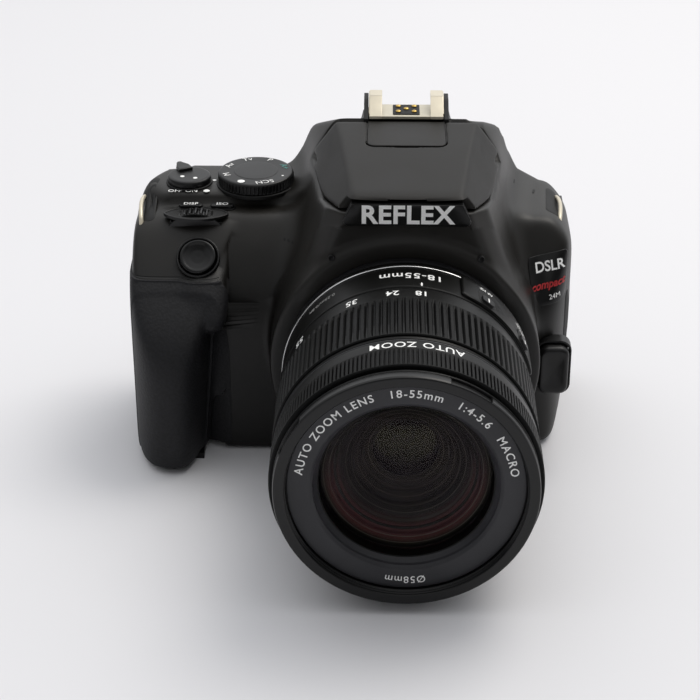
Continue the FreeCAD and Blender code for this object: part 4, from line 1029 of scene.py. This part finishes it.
on_lens("rim_ring", [(26.5, 58.05), (31.9, 58.05), (32.2, 58.3), (32.2, 58.9), (31.95, 59.1), (32.1, 59.3),
                     (32.1, 61.2), (31.9, 61.7), (31.5, 61.8), (29.5, 61.8), (29.25, 61.6), (29.25, 61.2),
                     (29.0, 61.0), (29.0, 60.7), (29.2, 60.55), (29.0, 60.4), (29.2, 60.25), (29.0, 60.1),
                     (29.2, 59.95), (29.0, 59.8), (29.0, 58.6), (26.5, 58.6)], "front_barrel", "black_satin",
        satin_black, turns=720, relief=hood_notches, replaces=("front_ring",), step=0.9, soften=0.08)
label_material = plastic("label_black", linear(92, 92, 97), 0.42, 0.2)
on_lens("label_cone", [(21.3, 56.4), (21.5, 56.4), (22.4, 57.8), (22.6, 58.5), (23.2, 59.0), (23.5, 59.15),
                       (28.6, 59.2), (28.8, 59.1), (28.8, 58.7), (26.2, 58.6), (23, 56.2), (21.3, 56.2)],
        "front_barrel", "black_satin", label_material, turns=256, replaces=("label_ring",), step=0.8, soften=0.06)

# %% [markdown]
# Behind the label ring the eye sees a stack of blackened rings around smaller and smaller glass. A stepped cone stands
# for them, with a thin painted highlight at the edge of each fine step and a painted coloured reflection, red on the
# lower outer rings, for the sheen the glass in front lays over them.

# %% Front glass and the rings behind it
def dome(radius, height, centre, count=36):
    """Profile of a spherical cap: height above the rim at each radius."""
    r = np.linspace(0, radius, count)
    ball = (radius ** 2 + height ** 2) / (2 * height)
    return [(x, centre + height - (ball - math.sqrt(ball * ball - x * x))) for x in r]


glass_profile = dome(20.9, 3.4, 54.0) + [(20.9, 53.2), (0, 53.2)]
clear = Shader("clear_glass")
streaks = clear.noise(60, 2)
front_clear = clear.make("ShaderNodeBsdfGlossy", None, {"Color": (0.62, 0.56, 0.7, 1),
                                                        "Roughness": 0.015 + streaks * 0.02})
through = clear.make("ShaderNodeBsdfTransparent", None, {"Color": (0.86, 0.85, 0.8, 1)})
facing_share = clear.make("ShaderNodeFresnel", None, {"IOR": 1.3})
blend = clear.make("ShaderNodeMixShader", None, {0: Value(clear, facing_share.outputs[0]) * 0.45,
                                                 1: Value(clear, through.outputs[0]),
                                                 2: Value(clear, front_clear.outputs[0])})
clear.make("ShaderNodeOutputMaterial", None, {"Surface": Value(clear, blend.outputs[0])})
on_lens("front_lens", glass_profile, "front_barrel", "optical_glass", clear.material, turns=128,
        replaces=("front_element",), soften=0, step=2.0)

def inner_rings_painted_light():
    """Blackened stepped rings with painted light: a thin painted highlight at the edge of each fine step, a painted
    red reflection of the coatings on the lower half of the outer rings, olive further in.
    """
    s = Shader("inner_rings_painted_light")
    high = s.z - LENS_Z * MM
    radius = (s.x * s.x + high * high)._math("SQRT")
    groove = (radius * 740.0)._math("FRACT")
    # Painted highlight: a thin pale line at the outer edge of every step of the fine pattern.
    edge = groove.fade(0.80, 0.90) * (1.0 - groove.fade(0.92, 1.0))
    coarse = s.noise(30, 2)
    # Painted reflection: a red cast from the glass coatings, on the outer rings and mostly below the lens axis.
    red = radius.fade(0.0150, 0.0175) * (1.0 - radius.fade(0.0190, 0.0205)) * (high * -1.0).fade(-0.008, 0.012)
    base = s.mix(radius.fade(0.004, 0.015), linear(26, 28, 20), linear(20, 19, 21))
    base = s.mix(red, base, linear(92, 44, 50))
    base = s.mix(edge * coarse.fade(0.2, 0.7), base, linear(112, 110, 108))
    return s.surface(Base_Color=base, Roughness=0.36 + coarse * 0.1, Normal=s.bump(groove, 0.0003, 0.5),
                     Specular_IOR_Level=0.3)


rings_with_painted_light = inner_rings_painted_light()
on_lens("inner_cone", [(20.9, 53.1), (20.6, 52.4), (18.4, 51.4), (18.2, 50.2), (16.2, 49.4), (16.0, 47.6),
                       (13.4, 46.2), (13.2, 44.4), (10.8, 43.2), (10.6, 41.4), (8.2, 40.6), (8.2, 39.4), (21.0, 39.4),
                       (21.0, 53.1)], "front_barrel", "black_satin", rings_with_painted_light, turns=200, soften=0.12, step=0.8)
on_lens("inner_lens_a", dome(16.0, 2.2, 46.6) + [(16.0, 45.8), (0, 45.8)], "front_barrel", "optical_glass",
        clear.material, turns=96, soften=0, step=2.0)
on_lens("inner_lens_b", dome(8.2, 1.4, 40.2) + [(8.2, 39.4), (0, 39.4)], "front_barrel", "optical_glass", front_glass,
        turns=96, soften=0, step=1.5)
on_lens("inner_back", [(0, 38.6), (16.9, 38.6), (16.9, 39.2), (0, 39.2)], "front_barrel", "black_satin", deep_black,
        turns=96, soften=0)
print("lens rings ready")

# %% [markdown]
# The switch panel is a raised patch on the rear tube with two slides in slots. It is the tube's own surface pushed
# out over a rectangle of turn and distance, with rounded sides.

# %% Switch panel
def lens_point(angle, forward, radius):
    """Angle in degrees from the top towards +X, distance forward of the flange, radius."""
    turn = np.radians(angle)
    return np.stack([radius * np.sin(turn), FLANGE_Y - forward + 0 * radius, LENS_Z + radius * np.cos(turn)], -1)


def wrapped(outline, low, high, bevel=0.3):
    """Grid of a patch that follows the lens: the outline is (angle degrees, forward), radii low to high."""
    outline = np.asarray(outline, float)
    middle = outline.mean(0)
    grid = []
    for share, radius in ((1.0, low), (1.0, high - bevel), (0.985, high - bevel * 0.3), (0.96, high), (0.7, high),
                          (0.4, high), (0.0, high)):
        ring = middle + (outline - middle) * share
        grid.append(lens_point(ring[:, 0], ring[:, 1], np.full(len(ring), radius)))
    base = lens_point(np.full(len(outline), middle[0]), np.full(len(outline), middle[1]), np.full(len(outline), low))
    return np.array([base] + grid)


def patch(name, outline, low, high, body, slot, material, bevel=0.3, replaces=()):
    return solid(name, wrapped(outline, low, high, bevel), body, slot, material, (False, True), replaces=replaces)


def arc_rectangle(angle, forward, half_angle, half_forward, corner):
    """Rounded rectangle in (angle, forward), dense along the turn."""
    base = rounded_rectangle(half_forward / corner, half_forward / corner, 1.0, 6)
    unit = base / np.abs(base).max(0)
    dense = spaced(np.vstack([unit, unit[:1]]), 0.08)[:-1]
    squash = np.sign(dense) * np.minimum(np.abs(dense), 1)
    return np.column_stack([angle + squash[:, 0] * half_angle, forward + squash[:, 1] * half_forward])


patch("switch_panel", arc_rectangle(52.0, 9.4, 27.0, 5.7, 1.4), 31.5, 33.4, "lens", "black_satin", barrel_black, 0.35)
for label, node, angle in (("af", "af_mf_switch", 38.0), ("is", "stabiliser_switch", 64.0)):
    # Painted shade: each slot is a dark patch, slightly proud of the panel, standing in for the recess the slide runs
    # in.
    patch(f"{label}_slot", arc_rectangle(angle, 10.8, 4.6, 3.2, 1.5), 32.0, 33.46, "lens", "black_satin", deep_black,
          0.05)
    patch(f"{label}_slide", arc_rectangle(angle, 12.2, 3.3, 1.5, 0.8), 32.4, 34.1, node, "black_satin", smooth_black,
          0.4, replaces=(node,))
    patch(f"{label}_slide_line", arc_rectangle(angle, 12.2, 0.35, 1.1, 0.8), 33.9, 34.14, node, "gloss_trim",
          white_ink, 0.02)
print("switch panel ready")

# %% [markdown]
# ## Pieces that lie on the covers
#
# Wells, plates, slots and doors follow the cover under them. Their outline is drawn flat and each point is then
# dropped onto the form along one axis, so the piece sits in or on the surface by an exact amount.

# %% Drawing on the form
def drop(axis, sign, start, form=shell, inset=0.3):
    """A map from (u, v, w): u and v are the other two axes in order, w the height over the cover along the axis."""
    others = [i for i in range(3) if i != axis]

    def place(p):
        origin = np.zeros(p.shape)
        origin[..., others[0]], origin[..., others[1]], origin[..., axis] = p[..., 0], p[..., 1], start
        direction = np.zeros(p.shape)
        direction[..., axis] = sign
        surface = cast(form, origin, direction, 120, inset)
        surface[..., axis] += sign * p[..., 2]
        return surface
    return place


from_top, from_front = drop(2, 1, 40.0), drop(1, -1, 10.0)
from_right, from_left, from_back = drop(0, 1, 20.0), drop(0, -1, -60.0), drop(1, 1, 10.0)


def tube(name, path, radius, body, slot, material, replaces=(), sides=20):
    """A round bar along a smooth path: rings of points square to the path, closed at both ends."""
    path = np.asarray(path, float)
    along = np.gradient(path, axis=0)
    along /= np.linalg.norm(along, axis=1, keepdims=True)
    side = np.cross(along, [0.31, 0.17, 0.93])
    side /= np.linalg.norm(side, axis=1, keepdims=True)
    up = np.cross(along, side)
    t = np.arange(sides) * 2 * np.pi / sides
    size = np.full(len(path), float(radius))
    rings = path[:, None] + size[:, None, None] * (np.cos(t)[None, :, None] * side[:, None]
                                                   + np.sin(t)[None, :, None] * up[:, None])
    caps = [np.broadcast_to(path[i], (1, sides, 3)) for i in (0, -1)]
    return solid(name, np.vstack([caps[0], rings, caps[1]]), body, slot, material, (False, True), replaces=replaces)


# %% [markdown]
# The shoulders carry bent steel bars for the strap over dark pockets, a row of speaker slots, a badge and the
# microphone holes. The recesses could be cut out of the shell, but at this size a thin dark inlay of painted shade
# reads the same and leaves the shell's mesh whole.

# %% Strap bars, speaker slots, badge, microphones
# Painted shade: dark inlays stand in for the strap pockets.
prism("strap_well_right", oblong(1.9, 8.6, 1.8, 41.2, 15.2, -4), -1.5, 0.06, from_top, *BLACK_PART_AND_PAINTED_SHADE, bevel=0.02)
prism("strap_well_left", oblong(1.6, 9.2, 1.5, -70.6, 11.0, 0), -1.5, 0.06, from_top, *BLACK_PART_AND_PAINTED_SHADE, bevel=0.02)
bend = np.linspace(0, 1, 30)
right_bar = np.stack([42.6 + 0.7 * np.sin(np.pi * bend), 6.2 + 17.0 * bend, 61.8 + 2.3 * np.sin(np.pi * bend) ** 0.5],
                     -1)
left_bar = np.stack([-72.6 - 0.6 * np.sin(np.pi * bend), 1.6 + 16.4 * bend, 62.6 + 3.6 * np.sin(np.pi * bend) ** 0.5],
                    -1)
tube("strap_bar_right", right_bar, 0.6, *BODY_STEEL, replaces=("strap_lugs",))
tube("strap_bar_left", left_bar, 0.6, *BODY_STEEL)
# Painted shade: dark inlays stand in for the speaker slots.
for index in range(6):
    prism(f"speaker_slot_{index}", oblong(0.42, 1.3, 0.4, 29.3 + 1.35 * index, 21.3 - 0.35 * index, -12, count=4),
          -0.8, 0.12, from_top, *BLACK_PART_AND_PAINTED_SHADE, bevel=0.02)

badge = moved_outline(np.array([(-5.6, 5.6), (-5.9, 4.6), (-4.4, -5.6), (-3.4, -6.6), (3.6, -5.6), (4.8, -4.6),
                                (5.2, 6.4), (4.4, 7.4)]), 39.4, 50.9)
badge = eased(np.vstack([badge, badge[:1]]), 1.2, 0.8)[:-1]
prism("badge_face", badge, -0.6, 0.28, from_front, "camera_body", "gloss_trim", satin_black, bevel=0.12,
      replaces=("badge_plate",))
# Painted shade: dark inlays stand in for the microphone holes.
for label, x in (("right", 31.6), ("left", -31.9)):
    for index in range(3):
        prism(f"microphone_{label}_{index}", oblong(0.33, 0.33, 0.32, x + 1.1 * (index - 1), 60.6, count=4), -0.5,
              0.03, from_front, *BLACK_PART_AND_PAINTED_SHADE, bevel=0.01)
for label, x in (("left", -19.4), ("right", 19.4)):
    lathe(f"hump_dimple_{label}", [(0, 0), (0.9, 0), (0.9, 0.9), (0.75, 1.0), (0.3, 0.75), (0, 0.75)],
          (x, -27.2, 67.1), (0, -1, 0), *BLACK_PART_AND_PAINTED_SHADE, turns=32, soften=0.06)

# %% [markdown]
# The lens release is a tall soft-cornered key beside the mount, dished for the fingertip, in a collar of the same
# black.

# %% Lens release, doors over the sockets
facing_front = lambda p: np.stack([p[..., 0], -p[..., 2], p[..., 1]], -1)
prism("release_key", oblong(4.1, 7.25, 2.6, 41.1, 27.25, count=9), 9.0, 16.0, facing_front, "lens_release_button",
      "black_satin", smooth_black, bevel=1.3, dish=0.7, replaces=("lens_release_button",), sharp=60)
rim("release_collar", oblong(4.35, 7.5, 2.8, 41.1, 27.25, count=9), 0.8, 9.5, 13.4, facing_front, "camera_body",
    "black_shell", smooth_black)
prism("socket_door_left", oblong(7.2, 10.7, 1.5, 3.5, 35.0), -1.2, 0.12, from_right, "port_cover_left", "ring_rubber",
      cup_black, bevel=0.3, replaces=("port_cover_left",))
prism("socket_door_right", oblong(5.2, 10.7, 1.5, 13.5, 27.0), -1.2, 0.12, from_left, "port_cover_right",
      "ring_rubber", cup_black, bevel=0.3, replaces=("port_cover_right",))
print("shoulder pieces ready")

# %% [markdown]
# ## Back of the camera
#
# The screen hangs in a frame on its hinge; the keys are low caps with a soft edge; the eyecup is a rubber ring round
# the finder window, thicker above than below.

# %% Rear pieces
behind_plane = lambda p: np.stack([-p[..., 0], p[..., 2], p[..., 1]], -1)
screen_outline = oblong(33.5, 24.4, 2.0, -9.75, 30.5)
prism("screen_back", screen_outline, 31.25, 35.4, behind_plane, "screen", "black_shell", smooth_black, bevel=0.8,
      replaces=("screen_housing",))
prism("screen_pane", oblong(30.6, 21.6, 1.0, -8.2, 30.5), 35.0, 35.47, behind_plane, "screen", "screen_glass",
      screen_black, bevel=0.12, replaces=("screen_glass",))
tube("screen_knuckle", np.stack([43.5 + 0 * bend, 33.35 + 0 * bend, 6.0 + 49.0 * bend], -1), 2.05, "screen",
     "black_shell", smooth_black)


def ring_piece(name, outer, inner, low, high, place, body, slot, material, round_by=0.8, replaces=()):
    """A closed ring between two outlines with rounded edges."""
    steps = [(0, low), (0, high - round_by), (0.12, high - round_by * 0.3), (0.3, high), (0.7, high),
             (0.88, high - round_by * 0.3), (1, high - round_by), (1, low)]
    grid = np.array([np.column_stack([outer + (inner - outer) * share, np.full(len(outer), w)]) for share,
                     w in steps])
    return solid(name, place(grid), body, slot, material, (True, True), replaces=replaces, sharp=50)


ring_piece("eye_rubber", oblong(17.0, 7.2, 4.5, 0, 71.0, count=12), oblong(9.6, 4.6, 2.0, 0, 71.0, count=12), 33.0,
           37.9, behind_plane, "camera_body", "ring_rubber", cup_black, 1.1, replaces=("eyecup",))
lathe("dioptre_knob", [(0, 74.2), (3.8, 74.2), (4.0, 74.4), (4.0, 76.6), (3.8, 76.8), (0, 76.8)], (-21.4, 32.8, 0),
      (0, 0, 1), "dioptre_wheel", "black_satin", satin_black, turns=160, relief=knurl(20, 0.3, 74.5, 76.5, 4.0),
      replaces=("dioptre_wheel",), soften=0.1, step=0.6)
prism("eye_window", oblong(9.9, 4.9, 2.0, 0, 71.0), 33.0, 34.9, behind_plane, "camera_body", "optical_glass",
      window_glass, bevel=0.2, replaces=("eyepiece_lens",))
for name, across, height in (("menu_button", 38.0, 59.2), ("info_button", 28.0, 59.2),
                             ("live_view_button", -32.0, 56.5), ("playback_button", -43.0, 9.0)):
    lathe(f"{name}_cap", [(0, 27.9), (2.55, 27.9), (2.55, 31.7), (2.3, 32.05), (1.6, 32.1), (0, 32.0)],
          (across, 0, height), (0, 1, 0), name, "black_satin", smooth_black, turns=64, replaces=(name,), step=0.6)
    lathe(f"{name}_rim", [(2.7, 30.4), (3.2, 30.4), (3.2, 30.85), (3.05, 31.0), (2.7, 30.9)], (across, 0, height),
          (0, 1, 0), "camera_body", "black_shell", deep_black, turns=64, soften=0.08)


def four_way(r, a, t):
    """The key plate dips between its four arms."""
    return r - 0.5 * (0.5 - 0.5 * np.cos(4 * t)) * (r > 9.5)


lathe("key_plate", [(4.95, 28.8), (10.4, 28.8), (10.9, 29.2), (10.9, 32.0), (10.3, 32.7), (8.8, 32.8), (5.4, 32.0),
                    (4.95, 31.7)], (-50.5, 0, 26.0), (0, 1, 0), "cross_keys", "black_satin", smooth_black, turns=192,
      relief=four_way, replaces=("cross_keys",), step=0.8)
lathe("set_cap", [(0, 28.7), (4.5, 28.7), (4.5, 32.6), (4.2, 33.0), (3.6, 33.05), (0, 32.8)], (-50.5, 0, 26.0),
      (0, 1, 0), "set_button", "black_satin", satin_black, turns=96, replaces=("set_button",), step=0.6)
thumb = oblong(5.6, 10.0, 3.0, 66.7, 43.0, count=9)
prism("thumb_pad", thumb, 29.8, 33.1, behind_plane, "camera_body", "grip_rubber", grip_black, bevel=1.4,
      replaces=("thumb_rest",), sharp=60)

# %% [markdown]
# The remaining pieces of the design keep their own shape and get the finishes made above.

# %% Finishes for the pieces kept from the design
KEPT = { "mount_ring": alloy, "mount_screws": screw_steel, "mirror_box": deep_black, "tripod_bush": brass,
        "base_screws": screw_steel, "image_sensor": window_glass, "shutter_frame": deep_black,
        "pentamirror": mirror_face, "main_board": teal_ink, "battery": barrel_black, "flash_hinge_pin": steel,
        "screen_ears": smooth_black, "main_mirror": mirror_face, "sub_mirror": mirror_face,
        "shutter_curtain": satin_black, "battery_door": smooth_black, "lens_bayonet": chrome,
        "rear_group": front_glass, }
for name, material in KEPT.items():
    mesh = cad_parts[name].data
    mesh.materials.clear()
    mesh.materials.append(material)
unused = [name for name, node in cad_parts.items() if not node.hide_render and name not in KEPT]
print("kept", len(KEPT), "without a finish:", unused)

# %% [markdown]
# ## Lettering
#
# Ink is printed flat on the real parts. Each word starts as type, becomes a thin mesh, and its points are then mapped
# onto the part: straight, bent round the lens, or round the label ring.

# %% Words
def letters(name, text, height, place, body, material, gap=1.0, shear=0.0, depth=0.04, bold=0.0):
    """Type of a cap height in mm, centred and printed in ink; place maps points (u, v, w) to the frame."""
    curve = bpy.data.curves.new(name, "FONT")
    curve.body, curve.align_x, curve.align_y = text, "CENTER", "CENTER"
    curve.space_character, curve.shear, curve.offset, curve.resolution_u = gap, shear, bold, 4
    source = bpy.data.objects.new(name, curve)
    bpy.context.scene.collection.objects.link(source)
    flat = bpy.data.meshes.new_from_object(source.evaluated_get(bpy.context.evaluated_depsgraph_get()))
    bpy.data.objects.remove(source)
    bpy.data.curves.remove(curve)
    points = np.zeros(len(flat.vertices) * 3)
    flat.vertices.foreach_get("co", points)
    points = points.reshape(-1, 3) * (height / 0.7)
    edges = [tuple(p.vertices) for p in flat.polygons]
    bpy.data.meshes.remove(flat)
    lower, upper = points.copy(), points.copy()
    lower[:, 2], upper[:, 2] = -depth, depth
    count = len(points)
    mesh = bpy.data.meshes.new(name)
    mesh.from_pydata((place(np.vstack([upper, lower])) * MM).tolist(), [],
                     edges + [tuple(i + count for i in reversed(face)) for face in edges])
    mesh.update()
    piece = finish_piece(mesh, name, body, "gloss_trim", material)
    normals = np.zeros(len(mesh.polygons) * 3)
    mesh.polygons.foreach_get("normal", normals)
    away = place(np.array([[0, 0, 1.0]])) - place(np.array([[0, 0, 0.0]]))
    if (normals.reshape(-1, 3)[:len(edges)] @ away[0]).mean() < 0:
        mesh.flip_normals()
    return piece


def ring_words(name, text, height, angle, radius, forward, body, material, inward=False, **options):
    """Words round the front of the lens, clockwise with their tops outwards, or along the bottom with tops inwards."""
    def place(p):
        if inward:
            turn, r = np.radians(angle) - p[..., 0] / radius, radius - p[..., 1]
        else:
            turn, r = np.radians(angle) + p[..., 0] / radius, radius + p[..., 1]
        return np.stack([r * np.sin(turn), FLANGE_Y - forward - p[..., 2], LENS_Z + r * np.cos(turn)], -1)
    return letters(name, text, height, place, body, material, **options)


def tube_words(name, text, height, angle, forward, radius, body, material, **options):
    """Words on the lens tube, read from behind the camera."""
    def place(p):
        return lens_point(angle - np.degrees(p[..., 0] / radius), forward + p[..., 1], radius + p[..., 2])
    return letters(name, text, height, place, body, material, **options)


def on_badge(u, v, turn=8):
    """A map for words turned by some degrees about (u, v) on the badge."""
    def place(p):
        spot = moved_outline(p[..., :2], u, v, turn)
        return from_front(np.concatenate([spot, 0.29 + p[..., 2:]], -1))
    return place


letters("word_front", "REFLEX", 4.9, lambda p: np.stack([p[..., 0], -28.56 - p[..., 2], 79.6 + p[..., 1]], -1),
        "camera_body", white_ink, gap=1.06, bold=0.03)
letters("word_badge", "DSLR", 2.5, on_badge(39.5, 54.4), "camera_body", white_ink, bold=0.02)
letters("word_badge_red", "compact", 1.9, on_badge(39.0, 50.0), "camera_body", red_ink, bold=0.03, shear=0.3)
letters("word_badge_small", "24M", 1.3, on_badge(41.0, 46.9), "camera_body", white_ink)
ring_words("word_ring", "AUTO ZOOM LENS   18-55mm   1:4-5.6   MACRO", 2.05, 0, 26.1, 59.22, "front_barrel", white_ink,
           gap=1.2, bold=0.01)
ring_words("word_filter", "Ø58mm", 1.95, 180, 26.3, 59.22, "front_barrel", white_ink, gap=1.15)
tube_words("word_range", "18-55mm", 2.8, 2.0, 9.6, 32.62, "lens", white_ink, gap=1.1, bold=0.012)
tube_words("word_reach", "0.25m/0.8ft", 1.3, -42.0, 9.2, 32.62, "lens", grey_ink, gap=1.05)
for label, angle in (("18", 6.6), ("24", -6.4), ("35", -25.2), ("55", -56.0)):
    tube_words(f"word_zoom_{label}", label, 2.4, angle, 19.4, 32.62, "zoom_ring", white_ink, bold=0.015)
tube_words("word_head", "AUTO ZOOM", 2.5, 4.0, 47.1, 32.87, "front_barrel", white_ink, gap=1.1, bold=0.01)
patch("index_mark", arc_rectangle(6.6, 14.3, 0.45, 1.0, 1), 32.4, 32.66, "lens", "gloss_trim", white_ink, 0.02)
tube_words("word_af", "AF MF", 1.15, 38.0, 6.2, 33.42, "lens", white_ink, gap=1.0)
tube_words("word_is_a", "STABILIZER", 0.95, 64.0, 6.6, 33.42, "lens", white_ink)
tube_words("word_is_b", "ON OFF", 0.95, 64.0, 5.2, 33.42, "lens", white_ink)

print("words on the lens and the front ready")

# %% [markdown]
# The dials and buttons on top carry short words on flat faces. The mode dial's words stand round its rim, so each is
# laid along its own direction from the dial's centre.

# %% Words and marks on top
flat_at = lambda x, y, z: (lambda p: np.stack([x + p[..., 0], y + p[..., 1], z + p[..., 2]], -1))
DECK_INK_Z, KEY_INK_Z, DECK_INK_Y = 68.95, 66.79, 10.6
TOP_WORDS = (("word_on", "ON", 1.5, -59.4, DECK_INK_Y, DECK_INK_Z, "camera_body"),
             ("word_off", "OFF", 1.5, -64.0, DECK_INK_Y, DECK_INK_Z, "camera_body"),
             ("word_movie", "●", 1.6, -55.2, DECK_INK_Y, DECK_INK_Z, "camera_body"),
             ("word_disp", "DISP", 1.4, -59.3, 6.8, KEY_INK_Z, "display_button"),
             ("word_iso", "ISO", 1.5, -50.6, 6.8, KEY_INK_Z, "iso_button"))
for name, text, height, x, y, z, body in TOP_WORDS:
    letters(name, text, height, flat_at(x, y, z), body, white_ink, gap=1.05, bold=0.01)
for index, text in enumerate(("M", "Av", "Tv", "P", "A+", "•", "SCN", "●")):
    turn = math.radians(200 - 45 * index)
    direction = np.array([math.cos(turn), math.sin(turn)])

    def around(p, direction=direction):
        base = direction * (8.35 + p[..., 1:2])
        side = np.array([direction[1], -direction[0]]) * p[..., :1]
        return np.concatenate([np.array([-41.8, 17.0]) + base + side, 72.54 + p[..., 2:]], -1)
    letters(f"word_mode_{index}", text, 1.9, around, "mode_dial", teal_ink if text == "A+" else white_ink)
lathe("mode_mark", [(0, 68.7), (0.55, 68.7), (0.55, 69.0), (0, 69.0)], (-53.6, 18.2, 0), (0, 0, 1), "camera_body",
      "gloss_trim", white_ink, turns=24, soften=0.05)
print("lettering ready")

# %% [markdown]
# ## Stage, light and camera
#
# The camera body is black, so its shape shows only in soft highlights. A pale sheet of paper, a sky that is brighter
# above and behind, one large warm lamp behind the body and two weak ones in front draw those highlights without hard
# shadows. The lens is a long one, from high in front.

# %% Stage
class SkyShader(Shader):
    """The world's light, by direction."""

    def __init__(self, world):
        self.tree = world.node_tree
        self.tree.nodes.clear()
        self.locate("Generated")

    def light(self, strength, colour):
        glow = self.make("ShaderNodeBackground", None, {"Color": colour, "Strength": strength})
        self.make("ShaderNodeOutputWorld", None, {"Surface": Value(self, glow.outputs[0])})


def make_stage():
    world = bpy.data.worlds.new("studio")
    bpy.context.scene.world = world
    world.use_nodes = True
    sky = SkyShader(world)
    above = (sky.z * 0.8 + sky.y * 0.55 + sky.x * 0.12).fade(0.05, 0.95)
    sky.light(above * 1.22 + 0.10, (0.97, 0.98, 1.0, 1))
    mesh = bpy.data.meshes.new("floor")
    mesh.from_pydata([(-6, -6, 0), (6, -6, 0), (6, 6, 0), (-6, 6, 0)], [], [(0, 1, 2, 3)])
    floor = bpy.data.objects.new("floor", mesh)
    bpy.context.scene.collection.objects.link(floor)
    shader = Shader("floor_paper")
    tone = shader.noise(4, 3)
    mesh.materials.append(shader.surface(Base_Color=shader.mix(tone, (0.775, 0.772, 0.792, 1),
                                                               (0.795, 0.792, 0.812, 1)),
                                         Roughness=0.85 + tone * 0.05))


def area_light(name, place, target, size, power, colour=(1, 1, 1)):
    data = bpy.data.lights.new(name, "AREA")
    data.shape, data.size, data.size_y, data.energy, data.color = "RECTANGLE", size[0], size[1], power, colour
    light = bpy.data.objects.new(name, data)
    light.location = place
    light.rotation_euler = (Vector(target) - Vector(place)).to_track_quat("-Z", "Y").to_euler()
    bpy.context.scene.collection.objects.link(light)
    return light


make_stage()
area_light("key", (0.42, 0.38, 1.0), (0, 0, 0.03), (0.6, 0.6), 4.9, (1.0, 0.955, 0.89))
area_light("fill", (-0.9, -0.5, 0.8), (0, 0, 0.04), (0.9, 0.9), 0.8, (0.95, 0.97, 1.0))
area_light("front", (-0.1, -1.3, 0.9), (0, 0, 0.04), (1.2, 0.6), 1.2)

camera = bpy.data.objects.new("camera", bpy.data.cameras.new("camera"))
camera.data.sensor_width, camera.data.lens = 36.0, 98.02
camera.data.clip_start, camera.data.clip_end = 0.02, 50
camera.location = (-0.006227, -0.474867, 0.281736)
camera.rotation_euler = Euler((math.radians(61.6), 0, math.radians(1.08)))
bpy.context.scene.collection.objects.link(camera)
bpy.context.scene.camera = camera
bpy.context.scene.view_settings.view_transform = "Standard"

print("stage, light and camera ready")
